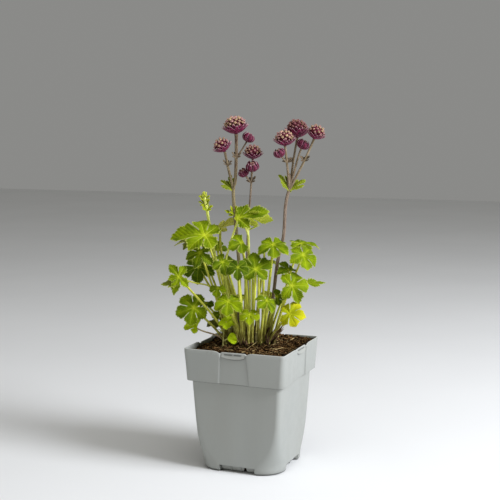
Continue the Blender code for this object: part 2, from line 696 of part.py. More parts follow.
def make_branch(branch, heads):
    """A branch: it starts in its hole in the compost or inside the stem that carries it."""
    path = []
    for point in branch.points:
        if point in heads:
            head = heads[point]
            path.append(place(*head.seat) - head_axis(head) * HEAD_SEAT)
        elif len(point) == 2:
            path.append(place(*point, soil_at(point)))
        else:
            path.append(place(*point))
    curve = curve_through(path, 2)
    if len(branch.points[0]) == 2:
        curve.insert(0, curve[0] - UP * (HOLE_DEPTH - GAP))
    return tube(curve, [branch.radius] * len(curve), STEM_SIDES)


def spike(root, tip, waist, beside, wide, deep):
    """A pointed solid with four sides, widest at its waist, which is a share of its length."""
    along = (tip - root).normalized()
    above = along.cross(beside)
    middle = root.lerp(tip, waist)
    ring = [middle + beside * wide, middle + above * deep, middle - beside * wide, middle - above * deep]
    points = [root, tip] + ring
    faces = []
    for side in range(4):
        after = (side + 1) % 4
        faces.append((0, 2 + after, 2 + side))
        faces.append((1, 2 + side, 2 + after))
    return points, faces


def make_stem(name, branches, joints, heads):
    """A stem with its branches, and the bracts or scales at its joints."""
    solids = [make_branch(branch, heads) for branch in branches]
    for number, joint in enumerate(joints):
        hub = place(*joint.hub)
        for way in joint.ways:
            if isinstance(joint, Scales):
                along = direction(*way)
                beside = UP.cross(along).normalized()
                tip = hub + along * joint.span
                solids.append(spike(hub, tip, SCALE_WAIST, beside, joint.wide * joint.span, SCALE_DEPTH))
            else:
                seed = f"{name}{number}{way[0]}"
                solids.append(lobed_blade(hub, leaf_axes(*way), joint.span, joint.form, BRACT_BEND, seed))
    return fused(name, solids, "shoot_green" if name in GREEN_STEMS else "stem_mauve")


def make_bowl(head):
    """The bowl of pointed bracts under an open head."""
    bowl = lobed_blade(
        place(*head.seat), head_axes(head), head.radius, BOWL, BOWL_BEND, head.node, BRACT_THICK
    )
    return fused(f"{head.node}_bracts", [bowl], "bract_burgundy")


def make_florets(head):
    """The dome of florets: rings of short pointed florets raised out of a rounded core."""
    size = head.radius
    along, left, upward = head_axes(head)
    seat = place(*head.seat) + upward * HEAD_SEAT
    centre = seat + upward * FLORET_CENTRE * size
    count = FLORETS_ROUND
    points, faces = [], []
    for level, (radius, height) in enumerate(FLORET_DOME):
        for number in range(count):
            turn = 2 * math.pi * (number + 0.5 * (level % 2)) / count
            sideways = along * math.cos(turn) + left * math.sin(turn)
            points.append(seat + (sideways * radius + upward * height) * size)
    points += [seat + upward * FLORET_DOME[0][1] * size, seat + upward * FLORET_CROWN * size]
    low_end, high_end = len(points) - 2, len(points) - 1
    last = (len(FLORET_DOME) - 1) * count
    for number in range(count):
        after = (number + 1) % count
        faces.append((low_end, after, number))
        faces.append((high_end, last + number, last + after))
        for level in range(len(FLORET_DOME) - 1):
            low, high = level * count, (level + 1) * count
            above = after if level % 2 else (number - 1) % count
            corners = [low + number, low + after, high + number, high + above]
            if level % 2:
                corners = [low + number, low + after, high + above, high + number]
            if level == 0:
                faces.append(tuple(corners[:3]))
                faces.append((corners[0], corners[2], corners[3]))
                continue
            middle = sum((points[corner] for corner in corners), Vector()) / 4
            points.append(middle + (middle - centre).normalized() * FLORET_RISE * size)
            for side in range(4):
                faces.append((corners[side], corners[(side + 1) % 4], len(points) - 1))
    return fused(f"{head.node}_florets", [(points, faces)], "floret_cream")


def make_bud(head):
    """A closed head: pointed bracts folded up into a ribbed cup."""
    size = head.radius
    along, left, upward = head_axes(head)
    seat = place(*head.seat) - upward * HUB_THICK / 2
    rings = []
    for height, ridge, valley in BUD_RINGS:
        ring = []
        for number in range(2 * BUD_RIBS):
            turn = math.pi * number / BUD_RIBS
            radius = valley if number % 2 else ridge
            tooth = BUD_TOOTH if number % 2 and height == BUD_RINGS[-1][0] else 0
            sideways = along * math.cos(turn) + left * math.sin(turn)
            ring.append(seat + (sideways * radius + upward * (height - tooth)) * size)
        rings.append(ring)
    solid = skin(rings, seat, seat + upward * BUD_RINGS[-2][0] * size)
    return fused(head.node, [solid], "bract_burgundy")


def main():
    """Makes every node."""
    remove_objects()
    heads = {head.node: head for head in OPEN_HEADS + CLOSED_HEADS}
    make_pot()
    feet = [(*leaf.foot, PETIOLE_RADIUS) for leaf in LEAVES]
    for branches, _ in STEMS.values():
        feet += [(*branch.points[0], branch.radius) for branch in branches if len(branch.points[0]) == 2]
    make_soil(feet)
    for leaf in LEAVES:
        make_leaf(leaf)
    for name, (branches, bracts) in STEMS.items():
        make_stem(name, branches, bracts, heads)
    for head in OPEN_HEADS:
        make_bowl(head)
        make_florets(head)
    for head in CLOSED_HEADS:
        make_bud(head)


main()
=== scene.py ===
"""The looks of the potted great masterwort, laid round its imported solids.

Lengths are in millimetres, and MM turns them into metres where a mesh is made. Lengths in the
materials, lights and camera are in metres. The layout of pot, leaves, stems and heads is the one
that the solids have.
"""
import json
import math
import random
from collections import namedtuple
from itertools import product

import bpy
import numpy as np
from mathutils import Matrix, Vector, noise
from mathutils.geometry import delaunay_2d_cdt

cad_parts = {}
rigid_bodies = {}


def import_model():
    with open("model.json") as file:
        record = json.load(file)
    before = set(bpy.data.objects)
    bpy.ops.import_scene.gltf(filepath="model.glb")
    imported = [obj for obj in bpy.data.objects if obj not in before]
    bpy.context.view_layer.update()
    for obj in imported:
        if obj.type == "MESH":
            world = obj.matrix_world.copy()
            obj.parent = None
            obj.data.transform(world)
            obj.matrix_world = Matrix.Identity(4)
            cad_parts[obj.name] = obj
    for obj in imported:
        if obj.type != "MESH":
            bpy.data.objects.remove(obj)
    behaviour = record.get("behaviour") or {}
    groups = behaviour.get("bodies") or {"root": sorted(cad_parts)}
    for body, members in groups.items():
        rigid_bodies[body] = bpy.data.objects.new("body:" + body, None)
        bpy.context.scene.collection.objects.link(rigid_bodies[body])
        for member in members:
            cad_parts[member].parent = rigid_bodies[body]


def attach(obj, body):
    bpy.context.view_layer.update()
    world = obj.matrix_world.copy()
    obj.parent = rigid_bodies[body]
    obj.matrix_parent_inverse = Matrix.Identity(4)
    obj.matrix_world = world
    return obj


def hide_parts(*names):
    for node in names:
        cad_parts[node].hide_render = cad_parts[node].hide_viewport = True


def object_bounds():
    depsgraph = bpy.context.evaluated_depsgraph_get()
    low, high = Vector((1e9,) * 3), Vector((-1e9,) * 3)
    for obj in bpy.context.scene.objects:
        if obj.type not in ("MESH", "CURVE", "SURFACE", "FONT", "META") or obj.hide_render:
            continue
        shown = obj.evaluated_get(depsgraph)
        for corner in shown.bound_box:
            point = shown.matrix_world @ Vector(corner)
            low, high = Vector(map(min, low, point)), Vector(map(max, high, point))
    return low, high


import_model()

CAD_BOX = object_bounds()
MM = 0.001
VIEW_TURN = math.radians(21.5)
GOLDEN_TURN = math.radians(137.508)
UP = Vector((0, 0, 1))
SIDE_TURNS = [Matrix.Rotation(side * math.pi / 2, 3, "Z") for side in range(4)]
NO_MARK = (0, 0, 0)

# The pot's sizes, as its solid has them
POT_HALF = 55.0
POT_HEIGHT = 128.0
POT_WALL = 1.2
FLOOR_THICK = 1.4
COLLAR_BOTTOM = 94.5
NOTCH_HEIGHT = 6.0
NOTCH_DEPTH = 4.5
PANEL_DEPTH = 1.2
RIM_DIP = 2.0
RIM_SHOULDER = 7.0
TAB_HALF = 12.4
TAB_REACH = 13.0
TAB_PROUD = 1.1
TAB_LOW = 0.45
TAB_END = 4.4
TAB_BELLY = 2.8
DRAIN_WIDTH = 5.8
DRAIN_HEIGHT = 5.4
DRAIN_ASIDE = 7.8
FLOOR_DRAIN_RADIUS = 4.0
FLOOR_DRAIN_PLACE = 22.0
GAP = 0.3
CORNER_STEPS = 12

# The compost's level, and its mounds: place across and toward the viewer, spread and rise
SOIL_LEVEL = 125.5
SOIL_SHAPES = ((-3.0, -8.0, 27.0, 6.0), (25.0, -25.0, 30.0, 2.0), (-58.0, -22.0, 15.0, -9.0),
               (-62.0, 18.0, 15.0, -6.0))
SOIL_SPOKES = 288
SOIL_RINGS = 52
CRUMBS = 900
CHIPS = 360
FIBRES = 220
FIBRE_STEPS = 8

PETIOLE_RADIUS = 0.9
PETIOLE_TIP_RADIUS = 0.7
PETIOLE_PULL = 0.33
PETIOLE_LEAN = 0.8
STALK_ROOT = 6.5
HUB_THICK = 1.6
HEAD_SEAT = HUB_THICK / 2 + GAP
STUMP_RADIUS = 2.0
STUMP_SIDES = 14

# The heights where the clump's reddish feet end, their dark colour partly painted shade under the leaves,
# and where the flower stems' darker tops start, and over how far each of them fades
FOOT_HEIGHT = 131.0
FOOT_FADE = 34.0
TOP_HEIGHT = 262.0
TOP_FADE = 70.0

# A blade's side veins: their slant, how many there are along it, and a shift that keeps counts positive
VEIN_SLANT = 1.15
VEIN_COUNT = 8.0
VEIN_SHIFT = 2.0

# A tooth of a blade's edge: its notch, its back and its point, each a share of the way and a height
TOOTH_POINT = 0.82
TOOTH = ((0.0, -0.16), (0.45, 0.10), (TOOTH_POINT, 0.30))

# How a blade rises, droops and folds along its ribs
LEAF_BEND = (0.12, 0.34, 0.34)
BRACT_BEND = (0.0, 0.10, 0.30)
JOINT_BEND = (0.1, -0.25, 0.30)
TIP_BEND = (0.1, -0.35, 0.35)

# A pot outline: height, half width, corner radius, the recess edge on each side, its depth and the rim's dip
Ring = namedtuple("Ring", "height half radius edge recess dip")
BODY_RINGS = (
    Ring(0.0, 43.7, 23.4, 19.1, NOTCH_DEPTH, 0.0),
    Ring(1.6, 44.7, 23.9, 19.4, NOTCH_DEPTH, 0.0),
    Ring(NOTCH_HEIGHT, 45.0, 24.0, 19.6, NOTCH_DEPTH, 0.0),
    Ring(NOTCH_HEIGHT + 0.6, 45.0, 24.0, 19.6, 0.0, 0.0),
    Ring(11.0, 45.1, 22.0, 19.0, 0.0, 0.0),
    Ring(17.0, 45.2, 17.2, 18.0, 0.0, 0.0),
    Ring(25.0, 45.4, 12.0, 17.0, 0.0, 0.0),
    Ring(36.0, 45.8, 7.6, 16.0, 0.0, 0.0),
    Ring(51.0, 46.4, 5.2, 16.0, 0.0, 0.0),
    Ring(72.0, 47.6, 4.9, 16.0, 0.0, 0.0),
    Ring(COLLAR_BOTTOM, 48.9, 4.8, 16.0, 0.0, 0.0),
)
COLLAR = Ring(COLLAR_BOTTOM, 53.2, 5.5, 16.8, PANEL_DEPTH, 0.0)
RIM = Ring(POT_HEIGHT, POT_HALF, 4.8, 14.6, PANEL_DEPTH, RIM_DIP)
INNER_RINGS = (
    Ring(POT_HEIGHT, POT_HALF - POT_WALL, 3.6, 15.1, PANEL_DEPTH, RIM_DIP),
    Ring(COLLAR_BOTTOM + 3.0, 53.3 - POT_WALL, 4.3, 17.2, PANEL_DEPTH, 0.0),
    Ring(COLLAR_BOTTOM, 48.9 - POT_WALL, 3.8, 17.2, 0.0, 0.0),
    Ring(51.0, 46.4 - POT_WALL, 4.2, 17.0, 0.0, 0.0),
    Ring(30.0, 45.5 - POT_WALL, 8.6, 18.0, 0.0, 0.0),
    Ring(NOTCH_HEIGHT + 2.2, 45.0 - POT_WALL, 22.2, 20.6, 0.0, 0.0),
    Ring(NOTCH_HEIGHT + 1.2, 45.0 - POT_WALL, 22.2, 20.6, NOTCH_DEPTH, 0.0),
    Ring(FLOOR_THICK, 44.6 - POT_WALL, 22.4, 20.3, NOTCH_DEPTH, 0.0),
)


def both_sides(middle, *pairs):
    """Lobes on both sides of a middle one, the outermost pair first: angle, length and width."""
    right = [(-angle, length, width) for angle, length, width in pairs]
    return (*right, (0, *middle), *reversed(pairs))


# A blade's form: its lobes, the points along a lobe's side, and how far in it is cut between lobes
Form = namedtuple("Form", "lobes side sinus")
SINUS = 0.36
REAR_SINUS = 0.22
LOBED_SIDE = ((0.30, 0.74), (0.44, 1.06), (0.58, 1.26), (0.64, 0.98), (0.75, 1.04), (0.84, 0.92),
              (0.88, 0.58), (0.95, 0.42))
CUT_SIDE = ((0.36, 0.72), (0.54, 1.12), (0.62, 0.86), (0.76, 0.86), (0.82, 0.54), (0.93, 0.34))
ROUND_SIDE = ((0.3, 0.8), (0.6, 1.0), (0.86, 0.8))
FULL = Form(both_sides((1.0, 0.32), (126, 0.80, 0.27), (62, 0.96, 0.31)), LOBED_SIDE, SINUS)
LONG = Form(both_sides((1.0, 0.30), (122, 0.54, 0.20), (58, 0.74, 0.25)), LOBED_SIDE, SINUS)
SMALL = Form(both_sides((1.0, 0.36), (78, 0.88, 0.33)), LOBED_SIDE, SINUS)
BRACT = Form(both_sides((1.0, 0.27), (36, 0.74, 0.19)), CUT_SIDE, 0.46)
WHORL = Form(both_sides((1.0, 0.22), (21, 0.80, 0.17)), CUT_SIDE, 0.60)
NARROW = Form(((-126, 0.66, 0.20), (-62, 0.98, 0.24), (0, 0.92, 0.25), (62, 1.0, 0.24), (126, 0.70, 0.20)),
              CUT_SIDE, SINUS)
FAR_LEFT = Form(((-126, 0.72, 0.22), (-58, 0.98, 0.24), (0, 0.62, 0.22), (60, 1.0, 0.24), (126, 0.72, 0.22)),
                CUT_SIDE, SINUS)
RIM_LEAF = Form(((-78, 0.95, 0.33), (0, 1.0, 0.34), (70, 0.50, 0.24)), LOBED_SIDE, SINUS)
TOP = Form(((-58, 0.58, 0.18), (0, 1.0, 0.29), (56, 0.66, 0.20)), CUT_SIDE, SINUS)
HALF_TOP = Form(((-58, 0.58, 0.18), (0, 1.0, 0.29), (48, 0.40, 0.15)), CUT_SIDE, SINUS)
ROUND = Form(((-24, 0.95, 0.36), (24, 0.95, 0.36)), ROUND_SIDE, 0.8)

# A leaf: node, hub, heading, pitch, roll, span, form, foot, and how dark and how mauve it looks.
# How dark it looks is partly its deeper green and partly painted shade; a dark value below zero paints light
# on it, and a mauve one below zero yellow.
Leaf = namedtuple("Leaf", "node hub heading pitch roll span form foot dark mauve")
LEAVES = tuple(Leaf("leaf_" + name, *rest) for name, *rest in (
    ("upper_left", (-49, 5, 241), 175, 12, 38, 34, LONG, (-23, -1), 0.2, -0.15),
    ("left_edge", (-59, -24, 230), 180, 8, 0, 25, NARROW, (-24, -19), 0.30, 0.7),
    ("left_hanging", (-54, 8, 224), 235, -66, 12, 19, NARROW, (-27, 3), 0.55, 0.1),
    ("far_left", (-76, 12, 199), 182, -8, 66, 19, FAR_LEFT, (-25, 7), 0.2, 0.25),
    ("left_dark", (-57, -13, 206), 262, -50, 0, 19, FULL, (-18, -15), 0.85, 0.2),
    ("top_mauve", (-34, -11, 246), 8, 30, 40, 23, HALF_TOP, (-11, -10), 0.6, 0.9),
    ("centre_high", (-12, 9, 234), 205, -12, 55, 14, SMALL, (-9, 4), 0.25, 0.0),
    ("left_behind", (-37, -20, 223), 95, 38, 0, 14, SMALL, (-13, -19), 0.5, 0.3),
    ("right_high", (21, 12, 232), 270, -38, 0, 18, FULL, (12, 4), 0.3, 0.0),
    ("right_edge", (51, -16, 230), 2, -4, -12, 19, FULL, (26, -15), 0.3, 0.1),
    ("right_round", (52, 8, 221), 292, -52, 6, 18, FULL, (22, -2), 0.2, -0.1),
    ("centre_big", (3, 20, 208), 95, 60, 0, 19, FULL, (-1, 15), 0.45, 0.0),
    ("centre_left", (-31, 12, 214), 350, -12, -40, 15, FULL, (-16, 12), 0.4, 0.1),
    ("centre_dark", (-15, 28, 211), 270, -60, 0, 13, FULL, (-11, 20), 0.75, 0.0),
    ("right_low", (40, 20, 191), 12, -2, -62, 19, FULL, (22, 5), 0.2, -0.15),
    ("right_narrow", (37, 6, 205), 135, 38, 0, 14, SMALL, (18, -3), 0.5, 0.2),
    ("right_yellow", (38, 27, 163), 345, 0, -58, 16, FULL, (16, 14), 0.15, -0.75),
    ("front", (-3, 32, 163), 268, -40, 0, 12, FULL, (-5, 22), 0.0, -0.25),
    ("front_left", (-25, 25, 175), 268, -42, 0, 16, FULL, (-12, 18), 0.2, -0.15),
    ("front_right", (14, 26, 176), 310, -42, 0, 14, FULL, (8, 16), 0.35, 0.0),
    ("right_shade", (25, 11, 178), 20, 0, -70, 10, SMALL, (14, 0), 0.7, 0.1),
    ("low_left", (-61, 8, 166), 186, -14, 62, 20, FULL, (-28, 12), 0.35, 0.15),
    ("over_rim", (-60, -4, 143), 178, 8, 50, 13, RIM_LEAF, (-29, -3), -0.35, -0.5),
    ("small_left", (-36, 17, 188), 262, -60, 0, 10, SMALL, (-22, 8), 0.2, 0.0),
    ("left_shade", (-49, -11, 167), 245, -48, 0, 11, SMALL, (-20, -10), 0.8, 0.3),
    ("mauve_low", (-38, -12, 147), 185, -12, 20, 11, SMALL, (-19, -14), 0.6, 0.8),
    ("left_inner", (-33, -4, 159), 200, -22, 64, 11, SMALL, (-25, -5), 0.5, 0.3),
    ("back_left", (-29, -36, 208), 110, -10, 0, 18, FULL, (-9, -22), 0.4, 0.0),
    ("back_right", (12, -38, 209), 75, -10, 0, 18, FULL, (3, -22), 0.3, 0.0),
    ("back_low_right", (20, -34, 174), 60, -16, 0, 17, FULL, (12, -17), 0.3, 0.1),
    ("back_low_left", (-20, -38, 170), 120, -16, 0, 17, FULL, (-4, -17), 0.45, 0.1),
))

# A flower head: node, seat, heading, lean, radius, and how far its florets are cream and pink
Head = namedtuple("Head", "node seat heading lean radius warm")
OPEN_HEADS = (
    Head("head_a", (-17, 0, 346), 180, 8, 12.7, 0.9),
    Head("head_b", (-29, 2, 328), 190, 26, 9.8, 0.8),
    Head("head_d", (0, -8, 320), 280, 8, 10.0, 0.7),
    Head("head_g", (33, 5, 334), 250, 10, 11.0, 1.0),
    Head("head_h", (46, -10, 342), 100, 6, 13.0, 0.25),
    Head("head_i", (63, 3, 341), 330, 22, 9.8, 0.75),
)
CLOSED_HEADS = (
    Head("bud_c", (-6, -4, 338), 10, 25, 6.0, 0.1),
    Head("bud_e", (0, 2, 309), 265, 35, 6.2, 0.5),
    Head("bud_f", (-8, -2, 303), 225, 36, 5.2, 0.3),
    Head("bud_j", (50, 1, 331), 340, 25, 6.2, 0.2),
    Head("bud_k", (29, 9, 323), 215, 34, 5.6, 0.4),
)

# A stem has branches and, at its joints, lobed bracts and small scales. A branch's points go from
# a place in the compost, or from a joint, to a head's node or a point.
Branch = namedtuple("Branch", "radius points")
Bracts = namedtuple("Bracts", "hub ways span form")
Scales = namedtuple("Scales", "hub ways span wide")
STEMS = {
    "flower_stem_left": (
        (
            Branch(1.7, ((-15, -3), (-14, -3, 202), (-19, 0, 267), (-20, 0, 289), (-18, 0, 298),
                         (-17, 0, 322), "head_a")),
            Branch(1.3, ((-20, 0, 288), (-26, 1, 314), "head_b")),
            Branch(0.8, ((-17, 0, 322), (-12, -2, 328), "bud_c")),
        ),
        (
            Bracts((-21, 0, 288), ((172, 46, 40), (140, 74, 70)), 15.5, WHORL),
            Scales((-20, 0, 287), ((10, 70),), 12, 0.22),
            Scales((-19, 0, 263), ((170, 8), (195, 45), (345, 62)), 9, 0.26),
            Scales((-26, 1, 314), ((170, 32), (10, 32)), 6, 0.20),
            Scales((-17, 0, 322), ((190, 32), (10, 32)), 7, 0.20),
        ),
    ),
    "flower_stem_middle": (
        (
            Branch(1.0, ((-4, -11), (-6, -14, 202), (-5, -14, 247), (-2, -9, 287), (-1, -8, 307), "head_d")),
            Branch(0.8, ((-2, -8, 296), (-1, -4, 302), "bud_e")),
            Branch(0.8, ((-2, -8, 295), (-5, -5, 299), "bud_f")),
        ),
        (Scales((-2, -8, 296), ((175, 32), (5, 32)), 7, 0.20),),
    ),
    "flower_stem_right": (
        (
            Branch(1.7, ((14, -9), (21, -5, 172), (26, -2, 213), (32, 0, 240), (34, 0, 272), (38, 0, 290))),
            Branch(1.3, ((38, 0, 288), (35, 4, 317), "head_g")),
            Branch(1.3, ((38, 0, 288), (42, -6, 317), "head_h")),
            Branch(1.2, ((38, 0, 288), (46, 0, 319), "bud_j")),
            Branch(1.3, ((38, 0, 288), (53, 2, 318), "head_i")),
            Branch(0.8, ((35, 4, 316), "bud_k")),
        ),
        (
            Bracts((38, 0, 288), ((180, 62, 60), (5, 36, -50)), 18.5, WHORL),
            Scales((38, 1, 288), ((270, 84),), 17, 0.20),
            Scales((35, 4, 317), ((170, 32), (20, 32)), 7, 0.20),
            Scales((42, -6, 317), ((190, 32),), 6, 0.20),
            Scales((53, 2, 318), ((190, 32), (5, 32)), 7, 0.20),
        ),
    ),
    "leaf_top_right": (
        (
            Branch(1.3, ((-3, 0), (-3, 0, 193), (-4, 0, 225), (-5, 0, 247), (-5, 0, 261))),
            Branch(0.9, ((-4, 0, 238), (-8, 4, 250), (-15, 6, 259))),
        ),
        (
            Bracts((-5, 0, 260), ((4, -12, 42),), 27, TOP),
            Bracts((-15, 6, 259), ((355, 16, -42),), 31, TOP),
            Scales((-5, 0, 246), ((8, 12), (150, 20)), 13, 0.20),
        ),
    ),
    "shoot_left": (
        (
            Branch(1.6, ((-19, -6), (-30, -7, 187), (-39, -8, 216), (-43, -12, 238), (-46, -12, 254),
                         (-48, -2, 270), (-50, -1, 280))),
        ),
        (
            Scales((-48, -2, 267), ((8, 30), (188, 42)), 7.5, 0.26),
            Scales((-49, -2, 273), ((350, 34), (172, 12)), 7.5, 0.26),
            Scales((-50, -1, 278), ((175, 30), (10, 26)), 6.5, 0.26),
        ),
    ),
    "seedling": (
        (
            Branch(0.7, ((-31, 17), (-30, 17, 142), (-27, 17, 153))),
            Branch(0.7, ((-31, 17, 132), (-28, 17, 134), (-25, 17, 135))),
        ),
        (
            Bracts((-25, 17, 135), ((358, 8, -64),), 9.4, ROUND),
            Bracts((-27, 17, 152), ((268, -30, 0), (20, 50, -30)), 9.5, SMALL),
            Scales((-30, 17, 142), ((200, 20),), 7, 0.34),
        ),
    ),
}

# Pale straws on the compost, each from one end to the other
STRAWS = (
    ((-6, 32, 127), (6, 12, 132)), ((34, 2, 127), (44, -14, 129.5)), ((18, 36, 126.5), (31, 30, 128.5)),
    ((-34, 30, 126.5), (-20, 38, 127.5)), ((16, 22, 127.5), (27, 6, 129)),
)

# Small side leaves beside two of the outer leaves: stalk, heading, pitch, roll, span, dark, mauve
SideLeaf = namedtuple("SideLeaf", "stalk heading pitch roll span dark mauve")
SIDE_LEAVES = {
    "leaf_right_edge": SideLeaf(((37, -15, 176), (45, -14, 184), (55, -10, 190)),
                                0, -2, -22, 21.5, 0.35, 0.25),
    "leaf_far_left": SideLeaf(((-27, 1, 125), (-33, 2, 168), (-44, 4, 187), (-60, 7, 192), (-72, 9, 196)),
                              184, -16, 30, 23, 0.25, 0.60),
}

# Young leaf stalks in the middle of the clump, each from its foot to its end behind a leaf
CLUMP_STALKS = (
    ((-9, 9), (-14, 20, 204)), ((-4, 11), (-7, 18, 205)), ((0, 5), (0, 12, 207)), ((6, 9), (6, 14, 206)),
    ((10, 5), (12, 10, 226)), ((12, 9), (15, 20, 174)), ((-13, 7), (-22, 18, 173)), ((17, 5), (25, 8, 176)),
)

# The second stalk that carries the topmost leaf, the cut old stalk, and the young shoot's tip
LONG_STALK = ((-16, 5, 122), (-19, 6, 146), (-27, 8, 186), (-28, 8, 212), (-23, 8, 234), (-15, 6, 258))
STUMP_PATH = ((4, 6, 120), (4, 6, 128), (4, 7, 133), (5, 7, 139))
SHOOT_TIP = (-50, -1, 280)


# Layout helpers
def place(across, toward, height=0):
    """The point at this place across the view, toward the viewer and above the ground."""
    turned_x = across * math.cos(VIEW_TURN) + toward * math.sin(VIEW_TURN)
    turned_y = across * math.sin(VIEW_TURN) - toward * math.cos(VIEW_TURN)
    return Vector((turned_x, turned_y, height))


def direction(heading, pitch):
    """The unit vector at this heading, raised by this pitch, both in degrees."""
    heading, pitch = math.radians(heading), math.radians(pitch)
    flat = math.cos(pitch)
    return place(flat * math.cos(heading), -flat * math.sin(heading), math.sin(pitch))


def leaf_axes(heading, pitch, roll):
    """A blade's own axes: along its middle lobe, to its left side and out of its upper face."""
    along = direction(heading, pitch)
    left = UP.cross(along).normalized()
    upper = along.cross(left)
    turn = math.radians(roll)
    upper = upper * math.cos(turn) + left * math.sin(turn)
    return along, upper.cross(along), upper


def head_axes(head):
    """A head's own axes: two across it and one up it."""
    upward = direction(head.heading, 90 - head.lean)
    along = upward.orthogonal().normalized()
    return along, upward.cross(along), upward


def around(axes, turn):
    """The unit vector at this turn about the third axis."""
    return axes[0] * math.cos(turn) + axes[1] * math.sin(turn)


def soil_height(x, y):
    """The compost's height at a point, from its mounds and hollows."""
    across = x * math.cos(VIEW_TURN) + y * math.sin(VIEW_TURN)
    toward = x * math.sin(VIEW_TURN) - y * math.cos(VIEW_TURN)
    height = SOIL_LEVEL
    for mound_across, mound_toward, spread, rise in SOIL_SHAPES:
        away = math.hypot(across - mound_across, toward - mound_toward)
        height += rise * math.exp(-((away / spread) ** 2))
    return height


def on_soil(point, lift=0.0):
    """The point on the compost above or below this one, lifted a little."""
    return Vector((point.x, point.y, soil_height(point.x, point.y) + lift))


def curve_through(points, steps):
    """A smooth curve through points, with this many steps between each two."""
    path = []
    for number in range(len(points) - 1):
        a = points[max(number - 1, 0)]
        b, c = points[number], points[number + 1]
        d = points[min(number + 2, len(points) - 1)]
        for step in range(steps):
            t = step / steps
            bend = b * 2 + (c - a) * t + (a * 2 - b * 5 + c * 4 - d) * t ** 2
            path.append((bend + (b * 3 - a - c * 3 + d) * t ** 3) / 2)
    path.append(points[-1])
    return path


def curve_at(places, steps):
    """A smooth curve through places of the layout."""
    return curve_through([place(*spot) for spot in places], steps)


def bend_between(start, start_pull, end_pull, end, steps):
    """A curve from start to end that sets out along one pull and arrives along the other."""
    path = []
    for step in range(steps + 1):
        t = step / steps
        rest = 1 - t
        path.append(
            start * rest ** 3 + (start + start_pull) * 3 * rest ** 2 * t
            + (end - end_pull) * 3 * rest * t ** 2 + end * t ** 3
        )
    return path


# Meshes
class Piece:
    """Gathers one piece's points, faces, marks and face materials, then makes its object.

    Each point carries two marks of three numbers, form and tone, that its materials read.
    """

    def __init__(self):
        self.points, self.form, self.tone = [], [], []
        self.faces, self.slots = [], []

    def add(self, points, faces, form=NO_MARK, tone=NO_MARK, slot=0):
        """Adds a part. A mark that is a tuple goes to all its points."""
        base = len(self.points)
        self.points += [tuple(point) for point in points]
        for kept, marks in ((self.form, form), (self.tone, tone)):
            same = isinstance(marks, tuple)
            kept.extend([marks] * len(points) if same else [tuple(mark) for mark in marks])
        self.faces += [tuple(base + corner for corner in face) for face in faces]
        self.slots += [slot] * len(faces)

    def make(self, name, materials, replaces, slot, sharp=50.0):
        """Makes the object, for the CAD nodes that it replaces. The record's material slot that it is given
        is not used.
        """
        mesh = bpy.data.meshes.new(name)
        scaled = np.clip(np.array(self.points, dtype=float) * MM, CAD_BOX[0], CAD_BOX[1])
        mesh.from_pydata(scaled.tolist(), [], self.faces)
        for material in materials:
            mesh.materials.append(material)
        mesh.polygons.foreach_set("material_index", self.slots)
        for label, marks in (("form", self.form), ("tone", self.tone)):
            layer = mesh.attributes.new(label, "FLOAT_VECTOR", "POINT")
            layer.data.foreach_set("vector", np.array(marks, dtype=np.float32).ravel())
        mesh.shade_smooth()
        mesh.set_sharp_from_angle(angle=math.radians(sharp))
        obj = bpy.data.objects.new(name, mesh)
        bpy.context.scene.collection.objects.link(obj)
        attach(obj, "root")
        if replaces:
            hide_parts(*replaces)


def plain_object(name, points, faces, materials):
    """An object with a plain mesh, for the pot and for what is cut out of it."""
    mesh = bpy.data.meshes.new(name)
    mesh.from_pydata([tuple(Vector(point) * MM) for point in points], [], faces)
    for material in materials:
        mesh.materials.append(material)
    return bpy.data.objects.new(name, mesh)


def wall_faces(levels, count):
    """The faces between closed rings of this many points each."""
    faces = []
    for low in range(0, (levels - 1) * count, count):
        for step in range(count):
            after = (step + 1) % count
            faces.append((low + step, low + after, low + count + after, low + count + step))
    return faces


def skin(rings, first_cap, last_cap):
    """A closed solid through outlines of equal length, with a flat fan at each end."""
    count = len(rings[0])
    points = [point for ring in rings for point in ring]
    last = len(points) - count
    faces = wall_faces(len(rings), count)
    points += [first_cap, last_cap]
    for step in range(count):
        after = (step + 1) % count
        faces.append((after, step, len(points) - 2))
        faces.append((last + step, last + after, len(points) - 1))
    return points, faces


def close_ends(points, form, faces, count, ends):
    """Closes the first and the last ring of a turned form, each with a fan from its middle."""
    for end, start in zip(ends, (0, len(points) - count)):
        points.append(end)
        form.append((form[start][0], 0.0, 0.0))
        for side in range(count):
            pair = (start + side, start + (side + 1) % count)
            faces.append((len(points) - 1, *(pair if start else pair[::-1])))


def tube(piece, path, radii, sides, slot=0, share=None, tint=0.0, ridge=0.05, cap=True, form=None,
         tone=None):
    """A closed bar along a path with faint ribs. Its form marks run along it and round it."""
    across = (path[1] - path[0]).normalized().orthogonal().normalized()
    points, own_form, own_tone = [], [], []
    run = 0.0
    for number, (point, radius) in enumerate(zip(path, radii)):
        if number:
            run += (point - path[number - 1]).length
        before = path[max(number - 1, 0)]
        after = path[min(number + 1, len(path) - 1)]
        line = (after - before).normalized()
        across = (across - line * across.dot(line)).normalized()
        axes = (across, line.cross(across))
        part = number / (len(path) - 1) if share is None else share(point)
        for side in range(sides):
            turn = 2 * math.pi * side / sides
            wide = radius * (1 + ridge * (1 if side % 2 else -1))
            points.append(point + around(axes, turn) * wide)
            own_form.append((run * 0.1, math.cos(turn), math.sin(turn)))
            own_tone.append((part, tint, 0.0))
    faces = wall_faces(len(path), sides)
    if cap:
        own_tone += [own_tone[0], own_tone[-1]]
        close_ends(points, own_form, faces, sides, (path[0], path[-1]))
    piece.add(points, faces, form or own_form, tone or own_tone, slot)


